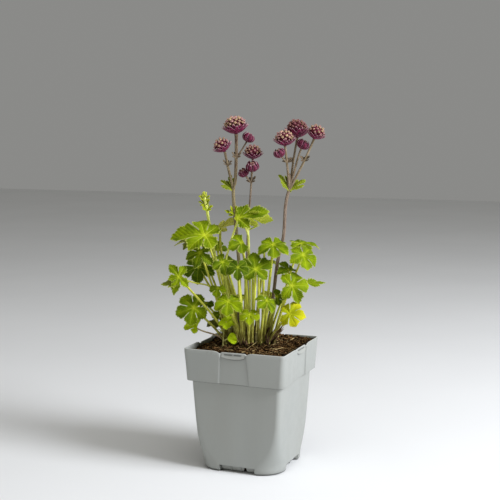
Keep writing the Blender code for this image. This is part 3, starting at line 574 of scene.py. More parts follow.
def lathe(piece, seat, axes, profile, sides, tone=NO_MARK, lobes=0, form_marks=None):
    """A turned form from (radius, height, lobe depth) rings, closed at both ends."""
    points, form = [], []
    for level, (radius, height, depth) in enumerate(profile):
        share = form_marks[level] if form_marks else 0.0
        for side in range(sides):
            turn = 2 * math.pi * side / sides
            wide = radius * (1 + depth * math.cos(lobes * turn))
            points.append(seat + around(axes, turn) * wide + axes[2] * height)
            form.append((share, 0.0, 0.0))
    faces = wall_faces(len(profile), sides)
    ends = (seat + axes[2] * profile[0][1], seat + axes[2] * profile[-1][1])
    close_ends(points, form, faces, sides, ends)
    piece.add(points, faces, form, tone)


def sheet(piece, rows, columns, point_at, tone, slot=0, glow=1.0, outer_first=False):
    """A thin closed bract of two faces and a rim between them.

    Its shape is point_at, a point for a share of its length, a part of its width and a face side.
    """
    points, form, tones = [], [], []
    for face_side in (0, 1) if outer_first else (1, 0):
        for row in range(rows + 1):
            for column in range(columns + 1):
                share, part = row / rows, 2 * column / columns - 1
                points.append(point_at(share, part, face_side))
                form.append((share, abs(part), max(0.0, abs(part) * 2 - 1)))
                tones.append((face_side * glow, *tone))
    wide = columns + 1
    count = (rows + 1) * wide
    faces = []
    for row in range(rows):
        for column in range(columns):
            a = row * wide + column
            near, far = (a, a + wide, a + wide + 1, a + 1), (a, a + 1, a + wide + 1, a + wide)
            if outer_first:
                near, far = far, near
            faces.append(near)
            faces.append(tuple(count + corner for corner in far))
    ring = list(range(wide))
    ring += [row * wide + columns for row in range(1, rows + 1)]
    ring += [rows * wide + column for column in range(columns - 1, -1, -1)]
    ring += [row * wide for row in range(rows - 1, 0, -1)]
    for corner, after in zip(ring, ring[1:] + ring[:1]):
        a, b = (after, corner) if outer_first else (corner, after)
        faces.append((a, b, b + count, a + count))
    piece.add(points, faces, form, tones, slot)


# The corners and faces of a box, and the faces of a bar with four sides
BOX_CORNERS = tuple(product((-1, 1), repeat=3))
BOX_FACES = ((0, 1, 3, 2), (4, 6, 7, 5), (0, 4, 5, 1), (2, 3, 7, 6), (0, 2, 6, 4), (1, 5, 7, 3))
BAR_FACES = ((0, 1, 2, 3), (7, 6, 5, 4), (0, 4, 5, 1), (1, 5, 6, 2), (2, 6, 7, 3), (3, 7, 4, 0))


def bar(turn, profile, front, back):
    """The points of a bar through one side of the pot, from its profile in x and z."""
    return [turn @ Vector((x, y, z)) for y in (front, back) for x, z in profile]


# Shader helpers
def add_node(tree, kind, inputs=None, **settings):
    """A new node with these settings, its inputs set or linked."""
    made = tree.nodes.new(kind)
    for key, value in settings.items():
        setattr(made, key, value)
    for key, value in (inputs or {}).items():
        if isinstance(value, Signal):
            tree.links.new(value.socket, made.inputs[key])
        else:
            made.inputs[key].default_value = value
    return made


class Signal:
    """A value in a material. Sums, products and fades of it are new nodes."""

    def __init__(self, socket):
        self.socket = socket
        self.tree = socket.id_data

    def maths(self, operation, *operands):
        """What an operation makes of these operands."""
        made = add_node(self.tree, "ShaderNodeMath", dict(enumerate(operands)), operation=operation)
        return Signal(made.outputs[0])

    def __add__(self, other):
        return self.maths("ADD", self, other)

    def __sub__(self, other):
        return self.maths("SUBTRACT", self, other)

    def __rsub__(self, other):
        return self.maths("SUBTRACT", other, self)

    def __mul__(self, other):
        return self.maths("MULTIPLY", self, other)

    def __truediv__(self, other):
        return self.maths("DIVIDE", self, other)

    def __pow__(self, other):
        return self.maths("POWER", self, other)

    def __abs__(self):
        return self.maths("ABSOLUTE", self)

    def root(self):
        """The square root of the value."""
        return self.maths("SQRT", self)

    def larger(self, other):
        """The larger of two values."""
        return self.maths("MAXIMUM", self, other)

    def clamped(self):
        """The same value, kept between 0 and 1."""
        self.socket.node.use_clamp = True
        return self

    def comb(self):
        """The distance from the middle of each unit step: 0.5 at whole numbers, 0 half way."""
        return abs(self.maths("FRACT", self) - 0.5)

    def fade(self, low, high, to_low=0.0, to_high=1.0):
        """A smooth step of the value from low to high."""
        inputs = {"Value": self, "From Min": low, "From Max": high, "To Min": to_low, "To Max": to_high}
        made = add_node(self.tree, "ShaderNodeMapRange", inputs, interpolation_type="SMOOTHSTEP")
        return Signal(made.outputs["Result"])


def blend(share, first, second):
    """A colour that goes from the first to the second with the share."""
    colours = [value if isinstance(value, Signal) else (*value, 1.0) for value in (first, second)]
    made = add_node(share.tree, "ShaderNodeMix", data_type="RGBA")
    for number, value in zip((0, 6, 7), (share, *colours)):
        if isinstance(value, Signal):
            share.tree.links.new(value.socket, made.inputs[number])
        else:
            made.inputs[number].default_value = value
    return Signal(made.outputs[2])


class Coat:
    """A material in the making: a base colour, layers over it, then roughness and bumps."""

    def __init__(self, name, roughness, specular):
        self.material = bpy.data.materials.new(name)
        self.material.use_nodes = True
        self.tree = self.material.node_tree
        self.shader = self.tree.nodes["Principled BSDF"]
        self.shader.inputs["Roughness"].default_value = roughness
        self.shader.inputs["Specular IOR Level"].default_value = specular
        self.where = self.value("ShaderNodeTexCoord", "Object")

    def value(self, kind, output, inputs=None, **settings):
        """What a new node of this kind gives at one of its outputs."""
        return Signal(add_node(self.tree, kind, inputs, **settings).outputs[output])

    def mark(self, label):
        """A mark as a vector."""
        return self.value("ShaderNodeAttribute", "Vector", attribute_name=label)

    def parts(self, vector):
        """The three numbers of a vector."""
        made = add_node(self.tree, "ShaderNodeSeparateXYZ", {"Vector": vector})
        return [Signal(made.outputs[axis]) for axis in "XYZ"]

    def stretch(self, vector, factors):
        """A vector scaled along each axis."""
        return self.value("ShaderNodeMapping", "Vector", {"Vector": vector, "Scale": factors})

    def noise(self, scale, detail=3.0, rough=0.55, where=None):
        """Cloudy noise of a scale, at the object's own place or at another vector."""
        inputs = {"Vector": where or self.where, "Scale": scale, "Detail": detail, "Roughness": rough}
        return self.value("ShaderNodeTexNoise", "Fac", inputs)

    def cells(self, scale, **settings):
        """A pattern of cells: how far a place is from their middles or edges."""
        inputs = {"Vector": self.where, "Scale": scale}
        return self.value("ShaderNodeTexVoronoi", "Distance", inputs, **settings)

    def openness(self, reach, samples):
        """How open the surface is, from 0 in a crease to 1."""
        return self.value("ShaderNodeAmbientOcclusion", "AO", {"Distance": reach}, samples=samples)

    def base(self, share, first, second):
        """Starts the colour as a blend of two."""
        self.colour = blend(share, first, second)

    def lay(self, share, colour):
        """Covers the colour so far with another one."""
        self.colour = blend(share, self.colour, colour)

    def finish(self, *bumps, rough=None):
        """Links it all. Each bump is a height, a strength and a depth in metres."""
        links = [(self.colour, "Base Color"), (rough, "Roughness")]
        normal = None
        for height, strength, depth in bumps:
            inputs = {"Height": height, "Strength": strength, "Distance": depth}
            if normal:
                inputs["Normal"] = normal
            normal = self.value("ShaderNodeBump", "Normal", inputs)
        links.append((normal, "Normal"))
        for signal, socket in links:
            if signal:
                self.tree.links.new(signal.socket, self.shader.inputs[socket])
        return self.material


# Materials
def leaf_material():
    """A blade: veins from its own marks, a pale hub and edge, a duller, paler underside that is partly
    painted light through the blade.
    """
    coat = Coat("leaf_blade", 0.5, 0.05)
    along, aside, edge = coat.parts(coat.mark("form"))
    side, dark, mauve = coat.parts(coat.mark("tone"))
    broad = coat.noise(95.0, 2.5)
    fine = coat.noise(260.0, 4.0)
    rib = (1.0 - aside / ((1.25 - along) * 0.020)).clamped() ** 0.7
    comb = ((along - aside * VEIN_SLANT + VEIN_SHIFT) * VEIN_COUNT).comb()
    side_vein = comb.fade(0.41, 0.5)
    pillow = comb.fade(0.0, 0.5, 1.0, 0.0)
    net = coat.cells(900.0, feature="DISTANCE_TO_EDGE").fade(0.0, 0.10, 1.0, 0.0)
    shade = dark * 0.78 + broad * 0.95 + aside.fade(0.02, 0.22, 0.0, 0.20)
    # Upper face: bright to deep green by the leaf's dark mark, partly painted shade, then specks, net,
    # veins, edge and hub
    coat.base(shade.fade(0.32, 1.20), (0.262, 0.350, 0.0010), (0.036, 0.078, 0.0006))
    coat.lay(fine.fade(0.40, 0.72, 0.0, 0.40), (0.105, 0.170, 0.002))
    coat.lay(net * 0.14, (0.36, 0.44, 0.020))
    coat.lay(side_vein * 0.36, (0.42, 0.50, 0.030))
    coat.lay(rib * 0.62, (0.52, 0.58, 0.050))
    coat.lay(edge.fade(0.72, 1.0, 0.0, 0.62), (0.52, 0.54, 0.120))
    coat.lay(along.fade(0.02, 0.20, 0.48, 0.0), (0.50, 0.54, 0.025))
    # Yellowed leaves, painted light in lime on leaves whose dark mark is below zero, and mauve leaves
    tired = blend(along.fade(0.30, 0.90), (0.42, 0.44, 0.010), (0.66, 0.60, 0.012))
    coat.lay(mauve.fade(-1.0, -0.1, 1.0, 0.0) * 0.85, tired)
    coat.lay(dark.fade(-0.35, -0.05, 0.75, 0.0), (0.54, 0.72, 0.012))
    coat.lay(mauve.fade(0.2, 1.0, 0.0, 0.62), (0.17, 0.135, 0.050))
    # Underside: pale green, partly its own colour and partly painted light that shines through the blade
    under = blend(rib, (0.64, 0.70, 0.075), (0.80, 0.82, 0.17))
    under = blend(broad.fade(0.40, 0.62) * 0.5, under, (0.42, 0.50, 0.035))
    under = blend(mauve.fade(0.2, 1.0, 0.0, 0.75), under, (0.44, 0.40, 0.085))
    coat.base(side, under, coat.colour)
    relief = rib * -1.0 + side_vein * -0.6 + pillow * 0.8
    return coat.finish((relief, 0.5, 0.0004), (net, -0.25, 0.0002), (fine, 0.35, 0.0004),
                       rough=fine * 0.25 + 0.40)


def stalk_material(name, foot, top, streak, speck, rough):
    """A stalk: long streaks and fine ribs from its own marks, from one colour at its foot to another."""
    coat = Coat(name, rough, 0.14)
    share, tint, _ = coat.parts(coat.mark("tone"))
    lines = coat.noise(3.0, 4.0, 0.6, coat.stretch(coat.mark("form"), (0.5, 1.0, 1.0)))
    specks = coat.noise(900.0, 2.0, 0.6)
    coat.base(share.fade(0.0, 1.0), foot, top)
    coat.lay(tint * 0.8, foot)
    coat.lay(lines.fade(0.42, 0.66, 0.0, 0.75), streak)
    coat.lay(specks.fade(0.56, 0.70, 0.0, 0.6), speck)
    return coat.finish((lines, 0.6, 0.0004), (specks, 0.25, 0.0002))


def bract_material():
    """A burgundy bract: fine veins along it, pale pointed tip and edge, a greener inner face."""
    coat = Coat("head_bract", 0.55, 0.14)
    along, aside, edge = coat.parts(coat.mark("form"))
    side, _, dull = coat.parts(coat.mark("tone"))
    fine = coat.noise(420.0)
    stripes = ((aside + 1.0) * 5.0).comb().fade(0.30, 0.5)
    coat.base(fine.fade(0.3, 0.7), (0.058, 0.004, 0.018), (0.245, 0.020, 0.080))
    coat.lay(stripes * 0.60, (0.035, 0.003, 0.011))
    coat.lay(dull * 0.62, (0.088, 0.012, 0.026))
    coat.lay(along.fade(0.0, 0.25, 0.50, 0.0), (0.16, 0.05, 0.05))
    coat.lay(edge.fade(0.60, 1.0, 0.0, 0.66), (0.50, 0.24, 0.32))
    coat.lay(along.fade(0.90, 1.0, 0.0, 0.80), (0.58, 0.38, 0.38))
    inner = blend(fine.fade(0.3, 0.7), (0.16, 0.05, 0.06), (0.24, 0.13, 0.08))
    coat.lay(side * 0.55, inner)
    return coat.finish((stripes, -0.5, 0.0003), (fine, 0.3, 0.0003))


def floret_material():
    """A floret: burgundy foot darkened to near black as painted shade between florets, cream to pink rim,
    darker throat.
    """
    coat = Coat("floret", 0.6, 0.12)
    along = coat.parts(coat.mark("form"))[0]
    warm, chance, _ = coat.parts(coat.mark("tone"))
    fine = coat.noise(700.0)
    cream = blend(chance.fade(0.2, 0.9), (0.70, 0.54, 0.28), (0.60, 0.33, 0.31))
    # Near-black foot: painted shade in the gaps between florets
    coat.base(along.fade(0.42, 0.74), (0.030, 0.004, 0.010), cream)
    coat.lay(1.0 - warm, (0.13, 0.014, 0.035))
    coat.lay(along.fade(0.88, 1.0, 0.0, 0.9), (0.10, 0.015, 0.02))
    coat.lay(fine.fade(0.5, 0.75, 0.0, 0.30), (0.34, 0.12, 0.11))
    return coat.finish((fine, 0.4, 0.0002))


def soil_material():
    """Moist compost: crumbs from near black to red-brown, with paler fibre."""
    coat = Coat("moist_compost", 0.9, 0.03)
    kind, pale, _ = coat.parts(coat.mark("form"))
    x, y, _ = coat.parts(coat.where)
    broad = coat.noise(120.0, 5.0, 0.65)
    fine = coat.noise(900.0, 4.0, 0.7)
    cells = coat.cells(520.0)
    coat.base(broad.fade(0.35, 0.68), (0.004, 0.002, 0.0008), (0.066, 0.031, 0.010))
    coat.lay(fine.fade(0.50, 0.70, 0.0, 0.7), (0.190, 0.100, 0.032))
    coat.lay(cells.fade(0.0, 0.5, 0.6, 0.0), (0.003, 0.0015, 0.0006))
    coat.lay(kind, blend(fine.fade(0.35, 0.65), (0.040, 0.016, 0.005), (0.330, 0.185, 0.072)))
    coat.lay(pale, (0.52, 0.38, 0.17))
    # Moss near the clump, painted shade in the creases, and the rim's painted shadow along the pot's wall
    from_clump = (x + 0.004) ** 2.0 + (y + 0.004) ** 2.0
    near_clump = from_clump.root().fade(0.012, 0.034, 1.0, 0.0)
    coat.lay(broad.fade(0.42, 0.60) * near_clump * 0.65, (0.060, 0.072, 0.010))
    coat.lay(coat.openness(0.005, 6).fade(0.45, 0.90, 0.92, 0.0), (0.0025, 0.0012, 0.0006))
    coat.lay(abs(x).larger(abs(y)).fade(0.0455, 0.0525, 0.0, 0.80), (0.004, 0.002, 0.001))
    return coat.finish((broad, 0.7, 0.002), (fine, 0.9, 0.0009), (cells, 0.5, 0.0008),
                       rough=broad.fade(0.35, 0.7, 0.55, 0.95))


def pot_material(name, low, high):
    """Grey moulded plastic: faint flow marks up the walls, grain, painted shade in its creases, soil dust by
    the rim.
    """
    coat = Coat(name, 0.46, 0.45)
    height = coat.parts(coat.where)[2]
    flow = coat.noise(38.0, 3.0, 0.5, coat.stretch(coat.where, (1.0, 1.0, 0.12)))
    cloud = coat.noise(16.0, 3.0, 0.5)
    grain = coat.noise(1500.0, 2.0, 0.6)
    scuff = coat.noise(90.0, 6.0, 0.72)
    coat.base(flow.fade(0.3, 0.7), low, high)
    coat.lay(cloud.fade(0.35, 0.7, 0.0, 0.35), (0.315, 0.332, 0.318))
    coat.lay(scuff.fade(0.60, 0.78, 0.0, 0.18), (0.40, 0.42, 0.41))
    coat.lay(scuff.fade(0.55, 0.72) * height.fade(0.114, 0.129) * 0.35, (0.16, 0.11, 0.07))
    # Painted shade: darker in creases, under the collar, along the panels' steps and round the tabs
    coat.lay(coat.openness(0.0032, 8).fade(0.50, 0.97, 0.80, 0.0), (0.075, 0.078, 0.070))
    return coat.finish((cloud, 0.25, 0.0012), (flow, 0.18, 0.0006), (grain, 0.12, 0.0001),
                       rough=scuff.fade(0.3, 0.8, 0.42, 0.60))


def pot_inside_material():
    """The same plastic inside the pot, darker down toward the compost from damp soil on it and from painted
    shade.
    """
    coat = Coat("pot_inside_plastic", 0.7, 0.25)
    height = coat.parts(coat.where)[2]
    stain_and_shade = coat.noise(70.0, 5.0, 0.65)
    coat.base(stain_and_shade.fade(0.35, 0.7), (0.070, 0.062, 0.044), (0.17, 0.16, 0.12))
    coat.lay(height.fade(0.1215, 0.1275), (0.37, 0.38, 0.36))
    return coat.finish((stain_and_shade, 0.4, 0.0006))


def floor_material():
    """A pale matt floor."""
    coat = Coat("pale_floor", 0.8, 0.2)
    coat.base(coat.noise(3.0, 2.0).fade(0.3, 0.7), (0.78, 0.78, 0.77), (0.80, 0.80, 0.79))
    return coat.finish()


LEAF = leaf_material()
# Leaf stalk: its dark foot colour is reddish-brown and partly painted shade under the leaves
PETIOLE = stalk_material("leaf_stalk", (0.125, 0.080, 0.016), (0.560, 0.590, 0.035), (0.78, 0.78, 0.20),
                         (0.200, 0.170, 0.028), 0.5)
STEM = stalk_material("flower_stalk", (0.190, 0.155, 0.074), (0.078, 0.041, 0.030), (0.34, 0.28, 0.16),
                      (0.060, 0.028, 0.022), 0.55)
MAUVE_STEM = stalk_material("mauve_stalk", (0.158, 0.106, 0.080), (0.190, 0.142, 0.066), (0.38, 0.30, 0.22),
                            (0.075, 0.036, 0.030), 0.55)
# Its dark foot colour is partly painted shade under the leaves
GREEN_STEM = stalk_material("green_stalk", (0.170, 0.130, 0.030), (0.640, 0.690, 0.100), (0.82, 0.84, 0.32),
                            (0.260, 0.230, 0.045), 0.5)
# Pale cream stalk: partly its own colour and partly painted light on a stalk in the clump's shade
PALE_LIT_STALK = stalk_material("pale_lit_stalk", (0.76, 0.56, 0.40), (0.80, 0.66, 0.46), (0.86, 0.76, 0.58),
                            (0.46, 0.31, 0.22), 0.55)
# Dry stalk: pale cream, brightened further as painted light where the stems in front shade it
STUMP = stalk_material("dry_stalk", (0.74, 0.62, 0.26), (0.86, 0.77, 0.40), (0.90, 0.84, 0.52),
                       (0.14, 0.085, 0.03), 0.7)
SHEATH = stalk_material("dry_sheath", (0.055, 0.020, 0.012), (0.150, 0.085, 0.035), (0.27, 0.19, 0.10),
                        (0.040, 0.012, 0.010), 0.6)
JOINT_BRACT = stalk_material("joint_bract", (0.130, 0.090, 0.060), (0.115, 0.078, 0.048),
                             (0.240, 0.200, 0.115), (0.060, 0.030, 0.024), 0.6)
BRACT_RED = bract_material()
FLORET = floret_material()
SOIL = soil_material()
PLASTIC = pot_material("pot_grey_plastic", (0.330, 0.338, 0.312), (0.348, 0.358, 0.334))
# A slightly paler copy of the plastic, which paints light on the tabs' upturned faces
TAB_LIT_PLASTIC = pot_material("pot_tab_lit_plastic", (0.342, 0.346, 0.314), (0.368, 0.372, 0.340))
RIM_PLASTIC = pot_material("pot_rim_plastic", (0.480, 0.480, 0.445), (0.620, 0.615, 0.575))
# Dark plastic for strips that paint the shadow under each tab and the shade in its slits
SHADE_STRIP_PLASTIC = pot_material("pot_shade_strip_plastic", (0.085, 0.088, 0.080), (0.110, 0.114, 0.104))
PLASTIC_INSIDE = pot_inside_material()
BARKS = {"flower_stem_left": STEM, "flower_stem_middle": MAUVE_STEM, "flower_stem_right": MAUVE_STEM}


# Blades
def toothed(line, tooth, draw, limit, cut):
    """The line with forward-pointing teeth, kept on its own side of the line to the next lobe."""
    steps = [0.0]
    for (ax, ay), (bx, by) in zip(line, line[1:]):
        steps.append(steps[-1] + math.hypot(bx - ax, by - ay))
    total = steps[-1]
    count = max(3, round(total / tooth))
    inner_stops = [total * (number + draw.uniform(-0.18, 0.18)) / count for number in range(1, count)]
    stops = [0.0, *inner_stops, total]

    def at(away):
        """The point this far along the line, and the way ahead there."""
        away = min(max(away, 0.0), total)
        spot = min(int(np.searchsorted(steps, away, side="right")) - 1, len(line) - 2)
        share = (away - steps[spot]) / max(steps[spot + 1] - steps[spot], 1e-9)
        (ax, ay), (bx, by) = line[spot], line[spot + 1]
        long = max(math.hypot(bx - ax, by - ay), 1e-9)
        ahead = ((bx - ax) / long, (by - ay) / long)
        return (ax + (bx - ax) * share, ay + (by - ay) * share), ahead

    made = []
    for number in range(count):
        start, size = stops[number], stops[number + 1] - stops[number]
        deep = draw.uniform(0.75, 1.35) * cut
        window = min(1.0, (number + 0.3) / (0.25 * count))
        for share, out in TOOTH:
            (x, y), ahead = at(start + size * share)
            push = out * size * deep * window if number or share else 0.0
            forward = 0.16 * size * window * cut if share == TOOTH_POINT else 0.0
            made.append((x - ahead[1] * push + ahead[0] * forward, y + ahead[0] * push + ahead[1] * forward))
    made.append(line[-1])
    kept = []
    for x, y in made:
        away = math.hypot(x, y)
        angle = limit - 0.25 / max(away, 0.6)
        if math.atan2(y, x) > angle and away > 0.5:
            x, y = away * math.cos(angle), away * math.sin(angle)
        kept.append((x, y))
    return kept


def inside(points, loop):
    """Which points lie inside a closed loop."""
    x, y = points[:, 0], points[:, 1]
    result = np.zeros(len(points), bool)
    previous = loop[-1]
    for current in loop:
        crosses = (previous[1] > y) != (current[1] > y)
        slope = (current[0] - previous[0]) / ((current[1] - previous[1]) or 1e-12)
        result ^= crosses & (x < previous[0] + (y - previous[1]) * slope)
        previous = current
    return result


def distance_to(points, starts, stops):
    """The shortest distance from each point to a set of straight pieces."""
    best = np.full(len(points), 1e9)
    for a, b in zip(starts, stops):
        run = b - a
        share = np.clip(((points - a) @ run) / max(run @ run, 1e-12), 0, 1)
        best = np.minimum(best, np.hypot(*(points - a - share[:, None] * run).T))
    return best


def distance_to_loop(points, loop):
    """The shortest distance from each point to a closed loop."""
    return distance_to(points, loop, np.roll(loop, -1, axis=0))


def blade_gaps(lobes, sinus):
    """The angle from each lobe to the next, and how far from the hub the blade is cut in between."""
    openings, gaps = [], []
    for (angle, length, _), (next_angle, next_length, _) in zip(lobes, lobes[1:] + lobes[:1]):
        opening = (next_angle - angle) % (2 * math.pi)
        share = sinus if opening < math.radians(90) else REAR_SINUS
        openings.append(opening)
        gaps.append(share * min(length, next_length))
    return openings, gaps


def blade_loop(lobes, openings, gaps, form, tooth, draw):
    """The blade's toothed outline as plane points, lobe by lobe."""
    loop = []
    cut = 0.2 if form is ROUND else 1.0
    for number, (angle, length, width) in enumerate(lobes):
        halves = []
        for hand, gap in ((-1, number - 1), (1, number)):
            opening, away = openings[gap], gaps[gap]
            start = (away * math.cos(opening / 2), away * math.sin(opening / 2))
            side = [(length * share, width * wide) for share, wide in form.side]
            control = [start, *(spot for spot in side if spot[0] > start[0] + 0.4), (length, 0.0)]
            line = curve_through([Vector((x, y, 0)) for x, y in control], 8)
            line = toothed([(point.x, point.y) for point in line], tooth, draw, opening / 2, cut)
            halves.append([(x, hand * y) for x, y in line])
        cos, sin = math.cos(angle), math.sin(angle)
        for x, y in halves[0] + halves[1][-2:0:-1]:
            loop.append((x * cos - y * sin, x * sin + y * cos))
    loop = np.array(loop)
    keep = [0]
    for number in range(1, len(loop)):
        if np.hypot(*(loop[number] - loop[keep[-1]])) > 0.05:
            keep.append(number)
    return loop[keep]


def blade_triangles(loop, lobes, openings, gaps, span, step):
    """The blade's plane points and triangles: its outline, lines along ribs and notches, and a lattice."""
    lines = [(angle, length * 0.985) for angle, length, _ in lobes]
    lines += [(lobe[0] + opening / 2, gap * 0.96) for lobe, opening, gap in zip(lobes, openings, gaps)]
    line_points, edges, stops = [(0.0, 0.0)], [], []
    for angle, length in lines:
        count = max(1, int(length / step))
        before = 0
        for number in range(1, count + 1):
            away = length * number / count
            line_points.append((away * math.cos(angle), away * math.sin(angle)))
            edges.append((before + len(loop), len(line_points) - 1 + len(loop)))
            before = len(line_points) - 1
        stops.append(np.array(line_points[-1]))
    rise = step * 0.866
    lattice = []
    for row in range(int(2 * span / rise) + 2):
        for column in range(int(2 * span / step) + 2):
            lattice.append((-span + (column + 0.5 * (row % 2)) * step, -span + row * step * 0.866))
    lattice = np.array(lattice)
    lattice = lattice[np.hypot(*lattice.T) < span * 1.02]
    lattice = lattice[inside(lattice, loop)]
    lattice = lattice[distance_to(lattice, [np.zeros(2)] * len(stops), stops) > step * 0.42]
    lattice = lattice[distance_to_loop(lattice, loop) > step * 0.40]

    flat = [Vector(point) for point in loop.tolist() + line_points + lattice.tolist()]
    result = delaunay_2d_cdt(flat, edges, [list(range(len(loop)))], 1, 1e-5)
    where = np.array([tuple(point) for point in result[0]])
    triangles = np.array([face for face in result[2] if len(face) == 3], int)
    a, b, c = (where[triangles[:, corner]] for corner in range(3))
    area = (b[:, 0] - a[:, 0]) * (c[:, 1] - a[:, 1]) - (b[:, 1] - a[:, 1]) * (c[:, 0] - a[:, 0])
    triangles[area < 0] = triangles[area < 0][:, ::-1]
    triangles = triangles[np.abs(area) > 1e-7]
    used = np.unique(triangles)
    remap = np.full(len(where), -1)
    remap[used] = np.arange(len(used))
    return where[used], remap[triangles]


def point_normals(points, triangles):
    """The unit normal at each point, from the triangles round it."""
    a, b, c = (points[triangles[:, corner]] for corner in range(3))
    face_normals = np.cross(b - a, c - a)
    normals = np.zeros_like(points)
    for corner in range(3):
        np.add.at(normals, triangles[:, corner], face_normals)
    return normals / np.maximum(np.linalg.norm(normals, axis=1), 1e-12)[:, None]


def blade(piece, hub, axes, span, form, bend, seed, tone, slot=0, tooth=None, thick=0.5, dense=27.0,
          curl=0.5):
    """A thin closed blade: the solid's lobes with a toothed edge, veins, pillows and curled tips.

    A tooth is this long, and the mesh is so dense that this many steps go into the blade's span.
    """
    rise, droop, fold = bend
    sway_draw = random.Random(seed)
    sways = np.array([sway_draw.uniform(-0.20, 0.24) for _ in form.lobes])
    twists = np.array([sway_draw.uniform(-0.55, 0.55) for _ in form.lobes])
    draw = random.Random(seed + " edge")
    tooth = tooth or min(3.2, max(1.5, span * 0.115))
    lobes = []
    for angle, length, width in form.lobes:
        turned = math.radians(angle + sway_draw.uniform(-5.0, 5.0))
        long = length * span * sway_draw.uniform(0.95, 1.05)
        lobes.append((turned, long, width * span * sway_draw.uniform(0.98, 1.20)))
    openings, gaps = blade_gaps(lobes, form.sinus)
    loop = blade_loop(lobes, openings, gaps, form, tooth, draw)
    where, triangles = blade_triangles(loop, lobes, openings, gaps, span, span / dense)

    # Each point's place on its nearest lobe: how far along the rib and how far beside it
    away = np.hypot(*where.T)
    angle = np.arctan2(where[:, 1], where[:, 0])
    turns = np.array([(angle - lobe[0] + math.pi) % (2 * math.pi) - math.pi for lobe in lobes])
    nearest = np.abs(turns).argmin(axis=0)
    turn = turns[nearest, np.arange(len(where))]
    run, lateral = away * np.cos(turn), away * np.abs(np.sin(turn))
    opening = np.array(openings)[(nearest + np.where(turn < 0, -1, 0)) % len(lobes)]
    in_lobe = np.clip(1 - np.abs(turn) / (opening / 2), 0, 1)
    share = run / np.array([lobe[1] for lobe in lobes])[nearest]
    curls = np.array([draw.uniform(-0.55, 1.35) * curl for _ in lobes])[nearest]
    phase = draw.uniform(0, 6.28)
    edge_away = distance_to_loop(where, loop)
    edge = np.clip(1 - edge_away / (0.07 * span), 0, 1)

    # The blade's height: bend and fold, curled tips, twisted lobes, pillows between veins, a wavy rim
    height = rise * away - (droop + sways[nearest] * in_lobe) * away * away / span + fold * lateral
    height -= curls * span * np.clip(share - 0.55, 0, 1) ** 2 * 0.9
    height += twists[nearest] * away * np.sin(turn) * np.clip(share, 0, 1) * in_lobe
    comb = ((run - VEIN_SLANT * lateral) / span + VEIN_SHIFT) * VEIN_COUNT
    pillow = 0.5 + 0.5 * np.cos(2 * math.pi * (comb - np.floor(comb) - 0.5))
    height += 0.006 * span * pillow * np.clip(lateral / (0.10 * span), 0, 1)
    rim_share = np.clip(1 - edge_away / (0.20 * span), 0, 1)
    height += 0.030 * span * np.sin(angle * 9 + phase) * rim_share * np.clip(away / (0.4 * span), 0, 1)

    axes_rows = np.array([tuple(axis) for axis in axes])
    middle = np.array(tuple(hub)) + np.stack([where[:, 0], where[:, 1], height], 1) @ axes_rows
    half = thick / 2 * (1 - 0.45 * edge) + 0.45 * np.exp(-((away / (0.09 * span)) ** 2))
    offset = point_normals(middle, triangles) * half[:, None]
    count = len(middle)
    pairs = {(face[number], face[(number + 1) % 3]): True for face in triangles for number in range(3)}
    faces = triangles.tolist() + (triangles[:, ::-1] + count).tolist()
    faces += [[b, a, a + count, b + count] for a, b in pairs if (b, a) not in pairs]
    marks = np.stack([run / span, lateral / span, edge], 1)
    tones = [(upper, *tone) for upper in (1.0, 0.0) for _ in range(count)]
    piece.add(np.vstack([middle + offset, middle - offset]), faces, np.vstack([marks, marks]), tones, slot)


# Leaves
def foot_share(point):
    """How far a point of a stalk is from the clump's reddish foot, whose dark colour is partly painted
    shade.
    """
    return min(1.0, max(0.0, (point.z - FOOT_HEIGHT) / FOOT_FADE))


def top_share(point):
    """How far a point of a flower stem is toward the darker stalks under the heads."""
    return min(1.0, max(0.0, (point.z - TOP_HEIGHT) / TOP_FADE))


def petiole_path(leaf, steps):
    """The middle line of a leaf's stalk. Feet near the viewer are drawn in toward the clump."""
    hub = place(*leaf.hub)
    along, _, upper = leaf_axes(leaf.heading, leaf.pitch, leaf.roll)
    ground = on_soil(place(leaf.foot[0], leaf.foot[1] - 0.3 * max(0.0, leaf.foot[1] - 5.0)))
    reach = (hub - ground).length
    straight = (hub - ground) / reach
    leave = (straight + UP).normalized() * reach * PETIOLE_PULL
    arrive = (straight * 2 + UP + along * PETIOLE_LEAN).normalized() * reach * PETIOLE_PULL
    return [ground - UP * STALK_ROOT] + bend_between(ground, leave, arrive, hub - upper * 0.25, steps)


